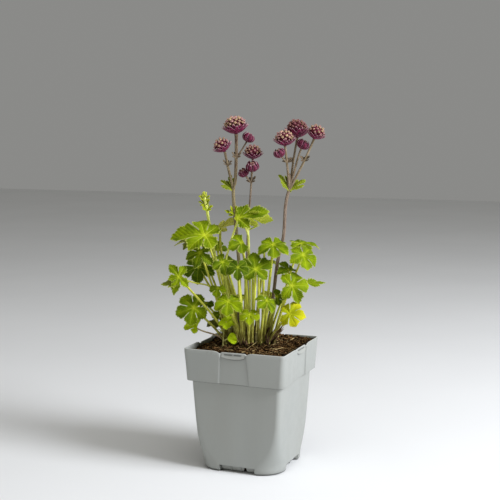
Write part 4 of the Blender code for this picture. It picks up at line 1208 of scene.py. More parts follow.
def make_leaf(leaf):
    """A leaf with its blade on its stalk, and with its small side leaf where it has one."""
    piece = Piece()
    axes = leaf_axes(leaf.heading, leaf.pitch, leaf.roll)
    blade(piece, place(*leaf.hub), axes, leaf.span, leaf.form, LEAF_BEND, leaf.node, (leaf.dark, leaf.mauve))
    over_rim = leaf.node == "leaf_over_rim"
    path = petiole_path(leaf, 22)
    last = len(path) - 1
    # Stalks are stouter in the middle of the clump and swollen at the foot
    stout = 1.85 if abs(leaf.foot[0]) < 16 else 1.50
    radii = []
    for number in range(len(path)):
        swell = stout + 0.55 * math.exp(-number * 0.40)
        radius = (PETIOLE_RADIUS + (PETIOLE_TIP_RADIUS - PETIOLE_RADIUS) * number / last) * swell
        radii.append(radius * 0.72 if over_rim else radius)
    tint = random.Random(leaf.node + " stalk").uniform(0.0, 0.45) + 0.3 * max(0.0, leaf.mauve)
    tube(piece, path, radii, 10, 1, foot_share, tint)
    side = SIDE_LEAVES.get(leaf.node)
    if side:
        path = curve_at(side.stalk, 8)
        tube(piece, path, [0.85] * len(path), 8, 1, foot_share, 0.35)
        blade(piece, path[-1], leaf_axes(side.heading, side.pitch, side.roll), side.span, WHORL, BRACT_BEND,
              leaf.node + " side", (side.dark, side.mauve))
    # The stalk over the rim takes the paler stalk, painted light where the clump shades it
    stalk = PALE_LIT_STALK if over_rim else PETIOLE
    piece.make(leaf.node + "_fine", [LEAF, stalk], (leaf.node,), "leaf_green")


# Stems
def scale(piece, hub, along, span, wide, tone, slot=0, lift=0.20):
    """A small pointed bract with a keel, which curves up toward its tip."""
    left = UP.cross(along).normalized()
    upper = along.cross(left)

    def point_at(share, part, face_side):
        width = 0.02
        if share < 1:
            width = wide * (0.35 + 0.65 * min(1.0, share / 0.45)) * (1 - share ** 3) ** 0.8
        aside = width * part
        height = lift * span * share * share + 0.35 * abs(aside) + (0.14 if face_side else -0.14)
        return hub + along * span * share + left * aside + upper * height

    sheet(piece, 8, 4, point_at, tone, slot)


def branch_path(branch, steps):
    """The middle line of a branch, up to its head's seat."""
    path = []
    for point in branch.points:
        if isinstance(point, str):
            head = next(head for head in OPEN_HEADS + CLOSED_HEADS if head.node == point)
            seat = HEAD_SEAT if head in OPEN_HEADS else HUB_THICK / 2
            path.append(place(*head.seat) - head_axes(head)[2] * (seat - 0.2))
        elif len(point) == 2:
            path.append(on_soil(place(*point)))
        else:
            path.append(place(*point))
    curve = curve_through(path, steps)
    if len(branch.points[0]) == 2:
        curve.insert(0, curve[0] - UP * STALK_ROOT)
    return curve


def tapered(thick, thin, count):
    """Radii that go evenly from thick to that less thin."""
    return [thick - thin * spot / (count - 1) for spot in range(count)]


def make_scale(piece, name, joint, way, seed):
    """A small bract at a joint: lobed and green low down, keeled at a fork, brown near the heads."""
    hub = place(*joint.hub)
    height = joint.hub[2]
    flower = name.startswith("flower")
    axes = leaf_axes(*way, 50 if 90 < way[0] < 270 else -50)
    plain = {"dense": 16.0, "curl": 0.3}
    if name == "shoot_left" or (name == "flower_stem_left" and height < 270):
        blade(piece, hub, axes, joint.span, BRACT, JOINT_BEND, seed, (0.0, -0.4), tooth=1.8, thick=0.7,
              **plain)
    elif height < 300 and name != "flower_stem_middle":
        scale(piece, hub, direction(*way), joint.span, joint.wide * joint.span, (0.1, 0.0), int(flower))
    else:
        blade(piece, hub, axes, joint.span * 0.95, BRACT, JOINT_BEND, seed, (0.55, 1.0), 1, 1.6, **plain)


def make_bract(piece, name, joint, way, seed):
    """A lobed green bract of a whorl, or one of a young stem's leaves."""
    # The seedling's leaves get a dark mark below zero: painted light where the clump shades them
    tone, tooth = (-0.35, -0.15), None
    if name == "leaf_top_right":
        tone = (0.40, 0.0)
    elif name.startswith("flower"):
        tone, tooth = (0.30, 0.52), joint.span * 0.16
    elif joint.form is ROUND:
        tooth = 2.4
    hub = place(*joint.hub)
    blade(piece, hub, leaf_axes(*way), joint.span, joint.form, BRACT_BEND, seed, tone, 0, tooth)


def make_stem(name, branches, joints):
    """A stem and its branches, with its bracts in a piece of their own."""
    flower = name.startswith("flower")
    share = top_share if flower else foot_share
    stem, leafy = Piece(), Piece()
    for number, branch in enumerate(branches):
        path = branch_path(branch, 8)
        thin = 0.86 if name == "flower_stem_right" and number else 1.0
        taper = [branch.radius * thin * part for part in tapered(1.06, 0.16, len(path))]
        if isinstance(branch.points[-1], str):
            for back in range(4):
                taper[-1 - back] *= 1 + 0.30 * math.exp(-back)
        tint = 0.35 if name == "leaf_top_right" else 0.2 * (number % 2)
        tube(stem, path, taper, 12, 0, share, tint)
    for number, joint in enumerate(joints):
        make_one = make_scale if isinstance(joint, Scales) else make_bract
        for way in joint.ways:
            make_one(leafy, name, joint, way, f"{name}{number}{way[0]}")
    if name == "shoot_left":
        for turn in range(6):
            axes = leaf_axes(60 * turn, 40 + 26 * (turn % 2), 0)
            blade(leafy, place(*SHOOT_TIP), axes, 5.2, BRACT, TIP_BEND, f"tip{turn}", (0.0, -0.4), tooth=1.6,
                  thick=0.8, dense=12.0, curl=0.3)
    if name == "leaf_top_right":
        path = curve_at(LONG_STALK, 6)
        tube(stem, path, tapered(1.35, 0.35, len(path)), 10, 0, share)
    bark = BARKS.get(name, GREEN_STEM)
    stem.make(name + "_fine", [bark], (name,), "stem_mauve" if flower else "shoot_green")
    leafy.make(name + "_bracts_fine", [LEAF, JOINT_BRACT], (name,), "shoot_green")


# Flower heads
BOWL_BRACTS = 12
# A row of a bowl's bracts. All but its turn and its lift go by the head's radius.
BowlRow = namedtuple("BowlRow", "turn length width rise curve lift")
BOWL_ROWS = (BowlRow(0.0, 1.10, 0.245, 0.10, 0.55, 0.0), BowlRow(0.5, 1.14, 0.235, 0.05, 0.45, -0.35))
DOME_CORE = ((0.16, 0.05, 0), (0.44, 0.20, 0), (0.62, 0.46, 0), (0.64, 0.74, 0), (0.50, 0.98, 0),
             (0.24, 1.10, 0))
BUD_CORE = ((0.20, 0.0, 0), (0.66, 0.28, 0), (0.86, 0.80, 0), (0.74, 1.20, 0), (0.40, 1.42, 0))
BUD_CURVE = ((0.14, 0.0), (0.60, 0.12), (0.94, 0.42), (1.08, 0.84), (1.02, 1.20), (0.84, 1.48), (0.66, 1.66))
BUD_BRACTS = 13
BUD_FLORETS = 9
FLORET_PROFILE = (
    (0.24, -3.4, 0.0), (0.24, -1.5, 0.0), (0.50, -1.0, 0.0), (0.66, -0.5, 0.0), (0.74, -0.05, 0.06),
    (0.94, 0.38, 0.16), (0.92, 0.80, 0.20), (0.58, 0.98, 0.20), (0.20, 0.66, 0.0),
)
FLORET_MARKS = (0.0, 0.1, 0.3, 0.42, 0.52, 0.68, 0.78, 0.82, 1.0)
KNOB_FACES = ((0, 2, 3), (0, 3, 4), (0, 4, 5), (0, 5, 2), (1, 3, 2), (1, 4, 3), (1, 5, 4), (1, 2, 5))


def sized(profile, size):
    """A profile of radii, heights and lobe depths at this size."""
    return [(radius * size, height * size, depth) for radius, height, depth in profile]


def bowl_bract(piece, seat, axes, turn, size, length, row):
    """One pointed bract of a bowl, out from the seat at a turn about the head's axis."""
    out = around(axes, turn)
    beside = axes[2].cross(out)

    def point_at(share, part, face_side):
        half = row.width * max(0.02, 1 - (share - 0.6) / 0.4) ** 0.75
        if share < 0.6:
            half = row.width * (0.25 + 0.75 * (share / 0.6) ** 0.9)
        aside = half * part * size
        away = share * length * size
        height = row.rise * away + row.curve * away * away / size + 0.25 * abs(aside) + row.lift
        height += 0.16 if face_side else -0.16
        return seat + out * away + beside * aside + axes[2] * height

    sheet(piece, 10, 4, point_at, (0.0, 0.0))


def floret(piece, foot, outward, size, warm, draw):
    """One floret: a stalk, an ovary, five petals curled in, and stamens that stand out of it."""
    along = outward.orthogonal().normalized()
    along = around((along, outward.cross(along)), draw.uniform(0, 2 * math.pi))
    axes = (along, outward.cross(along), outward)
    lathe(piece, foot, axes, sized(FLORET_PROFILE, size), 10, (warm, draw.random(), 0.0), 5, FLORET_MARKS)
    for number in range(5):
        way = 2 * math.pi * (number + 0.5) / 5 + draw.uniform(-0.25, 0.25)
        tip_way = (outward + around(axes, way) * draw.uniform(0.25, 0.55)).normalized()
        start = foot + outward * 0.5 * size
        stop = start + tip_way * draw.uniform(0.70, 1.15) * size
        path = [start, start.lerp(stop, 0.5) + outward * 0.1, stop]
        tube(piece, path, [0.10, 0.09, 0.08], 3, ridge=0.0, form=(0.78, 0, 0), tone=(warm, 0.1, 0.0))
        offsets = (outward, -outward, axes[0], axes[1], -axes[0], -axes[1])
        knob = [stop + offset * 0.24 * size for offset in offsets]
        piece.add(knob, KNOB_FACES, (0.80, 0, 0), (0.35 + 0.65 * warm, 1.0, 0.0))


def make_open_head(head):
    """A bowl of bracts and the dome of florets in it."""
    axes = head_axes(head)
    seat = place(*head.seat)
    size = head.radius
    bowl = Piece()
    for row in BOWL_ROWS:
        for number in range(BOWL_BRACTS):
            turn = 2 * math.pi * (number + row.turn) / BOWL_BRACTS
            length = row.length - (0.07 * (number % 2) if row.turn == 0 else 0.0)
            bowl_bract(bowl, seat, axes, turn, size, length, row)
    cup = ((0.9, -0.85, 0.0), (0.14 * size, -0.65, 0.0), (0.16 * size, 0.1, 0.0), (0.10 * size, 0.6, 0.0))
    lathe(bowl, seat, axes, cup, 16, form_marks=(0.2, 0.3, 0.4, 0.4))
    bowl.make(head.node + "_bracts_fine", [BRACT_RED], (head.node + "_bracts",), "bract_burgundy")

    dome = Piece()
    draw = random.Random(head.node)
    upward = axes[2]
    base = seat + upward * HEAD_SEAT
    # The dome's core takes the florets' near-black foot colour, painted shade between them
    lathe(dome, base, axes, sized(DOME_CORE, size), 20)
    count = int(0.27 * size * size)
    centre = base + upward * 0.56 * size
    floret_size = 1.46 if size > 11 else 1.26
    for number in range(count):
        level = 1 - (number + 0.5) / count * 1.06
        flat = math.sqrt(max(0.0, 1 - level * level))
        spread = around(axes, number * GOLDEN_TURN)
        wobble = draw.uniform(0.94, 1.05)
        point = centre + (spread * (0.73 * flat) + upward * (0.65 * level)) * size * wobble
        outward = (spread * flat * 0.9 + upward * (level + 0.45)).normalized()
        warm = head.warm * (0.55 + 0.45 * min(1.0, max(0.0, level + 0.55)))
        petals = floret_size * draw.uniform(0.85, 1.15)
        floret(dome, point, outward, petals, warm * draw.uniform(0.75, 1.0), draw)
    dome.make(head.node + "_florets_fine", [FLORET], (head.node + "_florets",), "floret_cream", 40.0)


def bud_bract(piece, seat, axes, turn, size, reach, tall):
    """One bract of a closed head, folded up over its florets."""
    out = around(axes, turn)
    beside = axes[2].cross(out)

    def point_at(share, part, face_side):
        spot = share * (len(BUD_CURVE) - 1)
        low = min(int(spot), len(BUD_CURVE) - 2)
        step = spot - low
        radius, height = (a * (1 - step) + b * step for a, b in zip(BUD_CURVE[low], BUD_CURVE[low + 1]))
        narrow = max(0.03, 1 - max(0.0, share - 0.55) / 0.45) ** 0.7
        half = 0.30 * (0.3 + 0.7 * min(1, share / 0.5)) * narrow
        inward = 0.10 * part * part
        away = out * (radius * reach - inward) + beside * half * part + axes[2] * (height * tall)
        return seat + away * size + out * (-0.13 if face_side else 0.13)

    sheet(piece, 12, 4, point_at, (0.0, 1.0), 0, 0.5, True)


def make_closed_head(head):
    """A closed head: bracts folded up round a few unopened florets."""
    axes = head_axes(head)
    upward = axes[2]
    size = head.radius
    seat = place(*head.seat) - upward * HUB_THICK / 2
    piece = Piece()
    draw = random.Random(head.node)
    lathe(piece, seat, axes, sized(BUD_CORE, size), 18, form_marks=(0.1, 0.3, 0.4, 0.4, 0.4))
    for number in range(BUD_BRACTS):
        odd = number % 2
        turn = 2 * math.pi * number / BUD_BRACTS + 0.24 * odd
        bud_bract(piece, seat, axes, turn, size, 1.0 + 0.05 * odd, draw.uniform(0.86, 1.0))
    inner = Piece()
    for number in range(BUD_FLORETS):
        level = math.sqrt((number + 0.5) / BUD_FLORETS) * 0.42
        spread = around(axes, number * GOLDEN_TURN)
        foot = seat + (spread * level + upward * (1.48 - 0.35 * level)) * size
        outward = (upward + spread * level * 1.2).normalized()
        floret(inner, foot, outward, 0.62 * draw.uniform(0.85, 1.1), 0.35 + 0.5 * head.warm, draw)
    piece.add(inner.points, inner.faces, inner.form, inner.tone, 1)
    piece.make(head.node + "_fine", [BRACT_RED, FLORET], (head.node,), "bract_burgundy", 60.0)


# Pot
def outline(ring, inset=0.0, corners=CORNER_STEPS):
    """The points of a pot outline, side by side round the pot, each side with its eased recess."""
    half = ring.half - inset
    radius = ring.radius - inset
    edge = ring.edge + inset * 0.4
    shoulder = min(edge + RIM_SHOULDER, half - radius - GAP)
    ease = min(2.6, (shoulder + edge) / 2 - edge)
    # From the side's shoulder to its middle: place across, share of the recess and share of the dip
    stops = (
        (-shoulder, 0.0, 0.0), (-edge - ease, 0.0, 0.30), (-edge - 0.35, 0.0, 0.90),
        (-edge - 0.05, 0.04, 1.0), (-edge + 0.12, 0.18, 1.0), (-edge + 0.4, 0.5, 1.0),
        (-edge + 0.68, 0.82, 1.0), (-edge + 0.85, 0.96, 1.0), (-edge + 1.15, 1.0, 0.9),
        (-TAB_HALF - 0.35, 1.0, 0.52), (-TAB_HALF, 1.0, TAB_LOW), (-TAB_HALF / 3, 1.0, TAB_LOW),
    )
    stops += tuple((-across, deep, low) for across, deep, low in reversed(stops))
    centre = Vector((half - radius, radius - half, ring.height))
    points = []
    for turn in SIDE_TURNS:
        for across, deep, low in stops:
            points.append(turn @ Vector((across, -half + deep * ring.recess, ring.height - low * ring.dip)))
        for step in range(corners + 1):
            angle = -math.pi / 2 + step * math.pi / 2 / corners
            points.append(turn @ (centre + Vector((radius * math.cos(angle), radius * math.sin(angle), 0))))
    return points


def pot_rings():
    """The pot's outlines: up the outside, over the rounded rim and down the inside."""
    foot = BODY_RINGS[0]
    middle = Ring(*(a + (b - a) * 0.5 for a, b in zip(COLLAR, RIM)))
    rings = [(foot, 0.45), (foot._replace(height=0.15), 0.12), (foot._replace(height=0.5, half=44.0), 0.0)]
    rings += [(ring, 0.0) for ring in BODY_RINGS[1:]]
    rings += [
        (COLLAR, 0.35),
        (COLLAR._replace(height=COLLAR_BOTTOM + 0.12), 0.1),
        (COLLAR._replace(height=COLLAR_BOTTOM + 0.38), 0.0),
        (middle._replace(dip=0.0), 0.0),
        (RIM._replace(height=POT_HEIGHT - 4.0, dip=RIM_DIP * 0.6), 0.0),
        (RIM._replace(height=POT_HEIGHT - 0.28), 0.0),
        (RIM._replace(height=POT_HEIGHT - 0.08), 0.09),
        (RIM, 0.30),
        (RIM, 0.92),
        (RIM._replace(height=POT_HEIGHT - 0.10), 1.12),
        (RIM._replace(height=POT_HEIGHT - 0.35), 1.2),
        (INNER_RINGS[0]._replace(height=POT_HEIGHT - 5.0, dip=RIM_DIP * 0.5), 0.0),
    ]
    rings += [(ring, 0.0) for ring in INNER_RINGS[1:]]
    return [outline(ring, inset) for ring, inset in rings]


def drain_cutters():
    """The shapes to cut out of the pot: on each side an arched slot in the wall and a hole in the floor."""
    wall = BODY_RINGS[0].half - NOTCH_DEPTH
    half = DRAIN_WIDTH / 2
    arch = ((DRAIN_ASIDE - half, -FLOOR_THICK), (DRAIN_ASIDE + half, -FLOOR_THICK),
            (DRAIN_ASIDE + half * 0.22, DRAIN_HEIGHT), (DRAIN_ASIDE - half * 0.22, DRAIN_HEIGHT))
    cutters = []
    for turn in SIDE_TURNS:
        cutters.append((bar(turn, arch, -wall - 4, -wall + 4), BAR_FACES))
        hole = []
        for step in range(24):
            angle = 2 * math.pi * step / 24
            x = FLOOR_DRAIN_PLACE + FLOOR_DRAIN_RADIUS * math.cos(angle)
            hole.append(turn @ Vector((x, FLOOR_DRAIN_RADIUS * math.sin(angle), 0)))
        cutters.append(skin(
            [[point - UP * 1.5 for point in hole], [point + UP * 3 for point in hole]],
            turn @ Vector((FLOOR_DRAIN_PLACE, 0, -1.5)), turn @ Vector((FLOOR_DRAIN_PLACE, 0, 3)),
        ))
    return cutters


def make_pot():
    """The pot: the solid's rings with a rounded rim and collar edge, smoother corners and drains."""
    rings = pot_rings()
    points, faces = skin(rings, Vector((0, 0, 0)), Vector((0, 0, FLOOR_THICK)))
    pot = plain_object("pot_fine", points, faces, [PLASTIC, PLASTIC_INSIDE, RIM_PLASTIC])
    bpy.context.scene.collection.objects.link(pot)
    count = len(rings[0])
    # The inside starts below the last two rings of the rim, and the paler rim is the four before it
    inner = (len(rings) - len(INNER_RINGS) - 2) * count
    for face in pot.data.polygons[inner:(len(rings) - 1) * count]:
        face.material_index = 1
    for face in pot.data.polygons[inner - 4 * count:inner]:
        face.material_index = 2

    helpers = bpy.data.collections.new("cutters")
    for points, faces in drain_cutters():
        helpers.objects.link(plain_object("cutter", points, faces, [PLASTIC]))
    cut = pot.modifiers.new("drains", "BOOLEAN")
    cut.operation = "DIFFERENCE"
    cut.operand_type = "COLLECTION"
    cut.collection = helpers
    cut.solver = "MANIFOLD"
    shape = bpy.data.meshes.new_from_object(pot.evaluated_get(bpy.context.evaluated_depsgraph_get()))
    pot.modifiers.clear()
    pot.data = shape
    for helper in list(helpers.objects):
        bpy.data.objects.remove(helper, do_unlink=True)
    bpy.data.collections.remove(helpers)
    pot.data.shade_smooth()
    pot.data.set_sharp_from_angle(angle=math.radians(38))
    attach(pot, "root")
    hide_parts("pot")


# A level of the tab: share of the way from its crest to its edge, how far it stands out, and a lift
TAB_LEVELS = (
    (0.0, -0.5, 0.0), (0.12, -0.35, 0.0), (0.35, 0.05, 0.0), (0.65, 0.55, 0.0), (0.9, 0.95, 0.0),
    (1.0, TAB_PROUD, 0.0), (1.0, TAB_PROUD * 0.9, 0.12), (1.0, -0.5, 0.25),
)
TAB_COLUMNS = 28
TAB_FACE = POT_HALF - PANEL_DEPTH
TAB_CREST = POT_HEIGHT - GAP - TAB_LOW * RIM_DIP
# The two slits in the tab, whose shade dark bars paint, and the two ribs in the notch: places across
SLITS = ((-9.6, -0.9), (0.9, 9.0))
RIBS = (-7.6, 3.2)


def tab_edge(angle):
    """The height of the tab's lower edge."""
    return POT_HEIGHT - TAB_END - TAB_BELLY * math.sin(angle)


def add_tab(piece, turn):
    """The raised tab under the rim on one side, in the paler plastic that paints light on it."""
    points, faces = [], []
    wide = TAB_COLUMNS + 1
    for share, proud, lift in TAB_LEVELS:
        for step in range(wide):
            angle = math.pi * step / TAB_COLUMNS
            x = (TAB_HALF + (TAB_REACH - TAB_HALF) * share) * math.cos(angle)
            z = TAB_CREST + (tab_edge(angle) - TAB_CREST) * share + lift
            out = proud * (0.12 + 0.88 * min(1.0, math.sin(angle) / 0.35)) if proud > 0 else proud
            points.append(turn @ Vector((x, -TAB_FACE - out, z)))
    last = len(points) - wide
    for level in range(0, last, wide):
        for step in range(level, level + TAB_COLUMNS):
            faces.append((step, step + wide, step + wide + 1, step + 1))
    for step in range(TAB_COLUMNS):
        faces.append((step, step + 1, last + step + 1, last + step))
    faces.append(tuple(range(last, -1, -wide)))
    faces.append(tuple(range(TAB_COLUMNS, last + wide, wide)))
    piece.add(points, faces, slot=1)


def add_tab_shadow_strip(piece, turn):
    """A dark strip along the tab's lower edge that paints the shadow under it."""
    points = []
    for step in range(TAB_COLUMNS + 1):
        angle = math.pi * step / TAB_COLUMNS
        for drop, proud in ((-0.3, -0.3), (-0.3, 0.06), (0.62, 0.06), (0.62, -0.3)):
            x = (TAB_REACH - 0.4) * math.cos(angle)
            points.append(turn @ Vector((x, -TAB_FACE - proud, tab_edge(angle) - drop)))
    faces = wall_faces(TAB_COLUMNS + 1, 4)
    faces += [(3, 2, 1, 0), tuple(range(TAB_COLUMNS * 4, len(points)))]
    piece.add(points, faces, slot=2)


def make_pot_details():
    """What stands on the pot's four sides: the tabs, dark strips that paint the shadow under them and the
    shade in their slits, and the notches' ribs.
    """
    piece = Piece()
    foot = BODY_RINGS[0].half - NOTCH_DEPTH
    for turn in SIDE_TURNS:
        add_tab(piece, turn)
        add_tab_shadow_strip(piece, turn)
        # Dark bars that paint the shade in the tab's two slits
        for start, stop in SLITS:
            low, high = TAB_CREST - 2.1, TAB_CREST - 1.45
            slit = ((start, low), (stop, low), (stop, high), (start, high))
            piece.add(bar(turn, slit, -TAB_FACE - 0.42, -TAB_FACE + 0.30), BAR_FACES, slot=2)
        for x in RIBS:
            rib = ((x - 0.5, 0.6), (x + 0.5, 0.6), (x + 0.4, NOTCH_HEIGHT), (x - 0.4, NOTCH_HEIGHT))
            piece.add(bar(turn, rib, -foot - 1.6, -foot + 0.6), BAR_FACES)
    piece.make("pot_tabs_fine", [PLASTIC, TAB_LIT_PLASTIC, SHADE_STRIP_PLASTIC], (), "pot_plastic", 40.0)


# Compost
def at_angles(points, angles):
    """How far an outline lies from the axis at these angles."""
    flat = np.array([(point.x, point.y) for point in points])
    run = np.roll(flat, -1, axis=0) - flat
    made = []
    for angle in angles:
        way = (math.cos(angle), math.sin(angle))
        bottom = way[0] * run[:, 1] - way[1] * run[:, 0]
        bottom = np.where(np.abs(bottom) < 1e-12, 1e-12, bottom)
        away = (flat[:, 0] * run[:, 1] - flat[:, 1] * run[:, 0]) / bottom
        share = (flat[:, 0] * way[1] - flat[:, 1] * way[0]) / bottom
        good = (share >= -1e-9) & (share <= 1 + 1e-9) & (away > 0)
        made.append(away[good].min())
    return made


def crumbly(x, y, share=0.5):
    """The compost's height at a point with its lumps, which are lower near the wall, at share 1."""
    lumps = noise.fractal(Vector((x * 0.21, y * 0.21, 3.1)), 0.9, 2.0, 4)
    grains = noise.fractal(Vector((x * 0.55, y * 0.55, 7.7)), 0.7, 2.1, 3)
    ease = min(1.0, (1 - share) * 9)
    return soil_height(x, y) + (lumps * 1.9 + grains * 1.2) * (0.25 + 0.75 * ease)


def soil_body():
    """The compost's rings, up from the pot's floor and in over the top, as points and faces."""
    angles = [2 * math.pi * step / SOIL_SPOKES for step in range(SOIL_SPOKES)]
    wide, narrow, *lower = [at_angles(outline(ring, GAP, 4), angles) for ring in INNER_RINGS]
    rings = []
    for ring, reach in zip(INNER_RINGS[:0:-1], [*reversed(lower), narrow]):
        height = ring.height + (GAP if ring.height == FLOOR_THICK else 1.3)
        rings.append([Vector((r * math.cos(a), r * math.sin(a), height)) for r, a in zip(reach, angles)])
    below = INNER_RINGS[1]
    reach = []
    for high, low, a in zip(wide, narrow, angles):
        height = soil_height(high * math.cos(a), high * math.sin(a))
        reach.append(low + (high - low) * ((height - below.height) / (POT_HEIGHT - below.height)))
    for step in range(SOIL_RINGS):
        share = 1 - step / SOIL_RINGS
        spots = [(r * share * math.cos(a), r * share * math.sin(a)) for r, a in zip(reach, angles)]
        rings.append([Vector((x, y, crumbly(x, y, share))) for x, y in spots])
    return skin(rings, Vector((0, 0, FLOOR_THICK + GAP)), Vector((0, 0, crumbly(0, 0, 0))))


def add_crumb(piece, x, y, draw):
    """A rough crumb."""
    size = draw.choice((0.6, 0.8, 1.0, 1.2, 1.6, 2.1))
    centre = Vector((x, y, crumbly(x, y) + size * draw.uniform(-0.2, 0.45)))
    tilt = Matrix.Rotation(draw.uniform(0, 6.28), 3, "Z") @ Matrix.Rotation(draw.uniform(-0.9, 0.9), 3, "X")
    corners = []
    for cx, cy, cz in BOX_CORNERS:
        wild = Vector([draw.uniform(-0.45, 0.45) for _ in range(3)])
        corners.append(centre + tilt @ (Vector((cx, cy, cz * 0.8)) * 0.6 + wild * 0.6) * size)
    piece.add(corners, BOX_FACES, (draw.uniform(0.0, 0.6), 0, 0))


def add_chip(piece, x, y, draw):
    """A chip of bark, a few of them pale."""
    long, wide, tall = draw.uniform(2.0, 6.5), draw.uniform(0.9, 2.6), draw.uniform(0.5, 1.4)
    centre = Vector((x, y, crumbly(x, y) + tall * draw.uniform(0.1, 0.9)))
    tilt = Matrix.Rotation(draw.uniform(0, 6.28), 3, "Z") @ Matrix.Rotation(draw.gauss(0, 0.55), 3, "X")
    tilt = tilt @ Matrix.Rotation(draw.gauss(0, 0.3), 3, "Y")
    corners = []
    for cx, cy, cz in BOX_CORNERS:
        offset = (cx * long * draw.uniform(0.3, 0.55), cy * wide * draw.uniform(0.3, 0.55), cz * tall * 0.5)
        corners.append(centre + tilt @ Vector(offset))
    pale = 0.75 if draw.random() < 0.14 else 0.0
    piece.add(corners, BOX_FACES, (draw.uniform(0.6, 1.0), pale, 0))


def add_fibre(piece, x, y, draw, limit):
    """A thin fibre that wanders over the compost, unless its two ends meet."""
    heading = draw.uniform(0, 2 * math.pi)
    long = draw.uniform(4, 15)
    bend = draw.uniform(-0.10, 0.10)
    path = []
    for step in range(FIBRE_STEPS + 1):
        z = crumbly(x, y) + 0.35 + 0.8 * math.sin(math.pi * step / FIBRE_STEPS) * draw.uniform(0.4, 1.0)
        path.append(Vector((x, y, z)))
        heading += bend + draw.uniform(-0.16, 0.16)
        x += math.cos(heading) * long / FIBRE_STEPS
        y += math.sin(heading) * long / FIBRE_STEPS
        x, y = max(-limit, min(limit, x)), max(-limit, min(limit, y))
    if (path[0] - path[-1]).length < 1.5:
        return
    radii = [draw.uniform(0.14, 0.34)] * len(path)
    pale = draw.choice((0.0, 0.1, 0.3, 0.75))
    tube(piece, path, radii, 5, ridge=0.0, form=(1.0, pale, 0))


def make_soil():
    """The compost: lumps, bark chips, crumbs and fibres on top, its plain body below."""
    piece = Piece()
    piece.add(*soil_body())
    draw = random.Random(5)
    limit = INNER_RINGS[0].half - 3.0

    def spot():
        """A place on the compost."""
        while True:
            x, y = draw.uniform(-limit, limit), draw.uniform(-limit, limit)
            if max(abs(x), abs(y)) < limit - 1:
                return x, y

    for _ in range(CRUMBS):
        add_crumb(piece, *spot(), draw)
    for _ in range(CHIPS):
        add_chip(piece, *spot(), draw)
    for _ in range(FIBRES):
        add_fibre(piece, *spot(), draw, limit)
    for start, stop in STRAWS:
        path = [place(*start).lerp(place(*stop), step / 6) for step in range(7)]
        tube(piece, path, [0.42] * 7, 6, ridge=0.04, form=(1.0, 0.95, 0))
    piece.make("soil_fine", [SOIL], ("soil",), "compost", 35.0)


# The clump's foot
def make_stump():
    """The cut old stalk with its hollow top."""
    piece = Piece()
    path = curve_at(STUMP_PATH, 4)
    radii = [STUMP_RADIUS + 0.15 * math.sin(number * 1.7) for number in range(len(path))]
    tube(piece, path, radii, STUMP_SIDES, cap=False)
    top = path[-1]
    base, rim = piece.points[:STUMP_SIDES], piece.points[-STUMP_SIDES:]
    points = list(rim)
    for share, drop in ((0.30, 0.1), (0.42, 1.6)):
        points += [Vector(point).lerp(top, share) - UP * drop for point in rim]
    points += [top - UP * 1.7, *base, path[0]]
    bottom = 3 * STUMP_SIDES
    faces = wall_faces(3, STUMP_SIDES)
    for side in range(STUMP_SIDES):
        after = (side + 1) % STUMP_SIDES
        faces.append((bottom - STUMP_SIDES + side, bottom - STUMP_SIDES + after, bottom))
        faces.append((bottom + 1 + after, bottom + 1 + side, len(points) - 1))
    piece.add(points, faces, NO_MARK, (1.0, 0, 0))
    piece.make("old_stalk_fine", [STUMP], ("old_stalk",), "stem_mauve")


def make_sheaths():
    """The dry brown and purple sheaths that wrap the stalks' feet in the middle of the clump."""
    piece = Piece()
    draw = random.Random(23)
    sunk = -1.5
    for across, toward in [leaf.foot for leaf in LEAVES] + [(-14, -3), (14, -9), (-3, 0), (4, 6)]:
        # None outside the clump's middle or before the cut stalk
        if math.hypot(across + 3, toward) > 24 or math.hypot(across - 4, toward - 9) < 9:
            continue
        for number in range(3):
            heading = draw.uniform(0, 360)
            hub = on_soil(place(across, toward) + direction(heading, 0) * 1.3, sunk)
            along = direction(heading, draw.uniform(72, 88))
            span = draw.uniform(7, 17)
            scale(piece, hub, along, span, draw.uniform(1.0, 1.7), (draw.random(), 0.0), 0, -0.06)
    for number in range(9):
        hub = on_soil(place(9 + 1.7 * number, draw.uniform(3, 14)), sunk)
        along = direction(draw.uniform(-25, 25), draw.uniform(36, 66))
        scale(piece, hub, along, draw.uniform(18, 31), draw.uniform(1.5, 2.6), (draw.random(), 0.0), 0, 0.10)
    piece.form = [(share * 2, aside, edge) for share, aside, edge in piece.form]
    piece.tone = [(shade, 0.0, 0.0) for _, shade, _ in piece.tone]
    piece.make("clump_sheaths", [SHEATH], (), "stem_mauve")


def make_clump_stalks():
    """The young leaf stalks in the middle of the clump."""
    piece = Piece()
    draw = random.Random(31)
    for foot, end in CLUMP_STALKS:
        start, stop = place(*foot, 126), place(*end)
        path = bend_between(start, UP * 22, (stop - start).normalized() * 24, stop, 14)
        tube(piece, path, tapered(1.55, 0.5, len(path)), 10, 0, foot_share, draw.uniform(0.1, 0.5))
    piece.make("clump_stalks", [PETIOLE], (), "leaf_green")


def build():
    """Makes every piece."""
    make_pot()
    make_pot_details()
    make_soil()
    make_stump()
    make_sheaths()
    make_clump_stalks()
    for leaf in LEAVES:
        make_leaf(leaf)
    for name, (branches, joints) in STEMS.items():
        make_stem(name, branches, joints)
    for head in OPEN_HEADS:
        make_open_head(head)
    for head in CLOSED_HEADS:
        make_closed_head(head)


# The stage: a pale floor, soft lights and the photograph's camera
LIGHT_TARGET = Vector((0, 0, 0.19))
FLOOR_REACH = 4.0
FLOOR_DROP = 0.0004
CAMERA_TARGET = Vector((0, 0, 0.102))
CAMERA_LIFT = 13.2
CAMERA_AWAY = 1.1
CAMERA_DOWN = 6.8
CAMERA_TURN = 0.15
SENSOR_WIDTH = 36.0
# The lens in pixels, as fitted to the photograph, and the photograph's width
LENS_PIXELS = 1037.0
PHOTO_WIDTH = 500.0


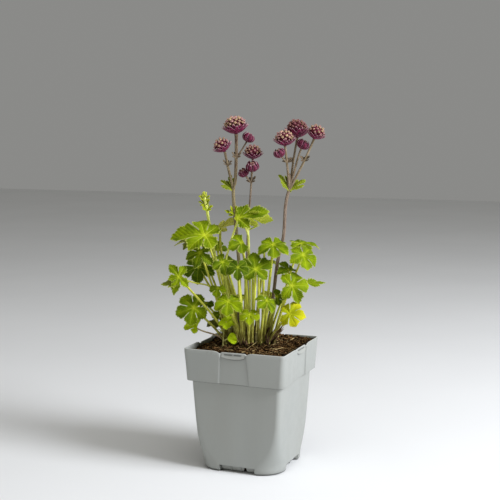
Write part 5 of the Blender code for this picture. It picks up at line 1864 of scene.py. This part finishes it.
def view_way(turn_degrees, lift_degrees, away):
    """A place round the pot, turned from the viewer to the right and lifted, in metres."""
    turn = VIEW_TURN + math.radians(turn_degrees)
    lift = math.radians(lift_degrees)
    return Vector((math.sin(turn) * math.cos(lift), -math.cos(turn) * math.cos(lift), math.sin(lift))) * away


def put(name, data, where, ahead):
    """A light or a camera at a place, looking along a direction."""
    obj = bpy.data.objects.new(name, data)
    obj.location = where
    obj.rotation_mode = "QUATERNION"
    obj.rotation_quaternion = ahead.to_track_quat("-Z", "Y")
    bpy.context.scene.collection.objects.link(obj)
    return obj


def area_light(name, where, size, power, colour=(1, 1, 1)):
    """A soft round light that looks at the plant."""
    data = bpy.data.lights.new(name, "AREA")
    data.shape = "DISK"
    data.size = size
    data.energy = power
    data.color = colour
    put(name, data, where, LIGHT_TARGET - where)


def make_stage():
    """The floor, the lights and the pale surroundings."""
    mesh = bpy.data.meshes.new("floor")
    corners = ((-1, -1), (1, -1), (1, 1), (-1, 1))
    mesh.from_pydata([(x * FLOOR_REACH, y * FLOOR_REACH, 0) for x, y in corners], [], [(0, 1, 2, 3)])
    mesh.materials.append(floor_material())
    floor = bpy.data.objects.new("floor", mesh)
    floor.location.z = -FLOOR_DROP
    bpy.context.scene.collection.objects.link(floor)

    area_light("key", view_way(62, 38, 1.9), 0.8, 45.2, (0.905, 0.935, 1.0))
    area_light("fill", view_way(-50, 20, 2.2), 1.6, 3.4, (1.0, 0.985, 0.92))
    area_light("top", view_way(10, 80, 2.0), 1.2, 8.0)
    world = bpy.data.worlds.new("studio")
    world.use_nodes = True
    background = world.node_tree.nodes["Background"]
    background.inputs["Color"].default_value = (0.965, 0.965, 0.935, 1.0)
    background.inputs["Strength"].default_value = 0.265
    bpy.context.scene.world = world
    bpy.context.scene.view_settings.view_transform = "Standard"


def make_camera():
    """The photograph's view: from between two walls of the pot, a little above it."""
    data = bpy.data.cameras.new("camera")
    data.sensor_width = SENSOR_WIDTH
    data.lens = LENS_PIXELS / PHOTO_WIDTH * SENSOR_WIDTH
    data.clip_start, data.clip_end = 0.05, 50.0
    where = CAMERA_TARGET + view_way(0, CAMERA_LIFT, CAMERA_AWAY)
    bpy.context.scene.camera = put("camera", data, where, -view_way(CAMERA_TURN, CAMERA_DOWN, 1))


make_camera()
build()
make_stage()
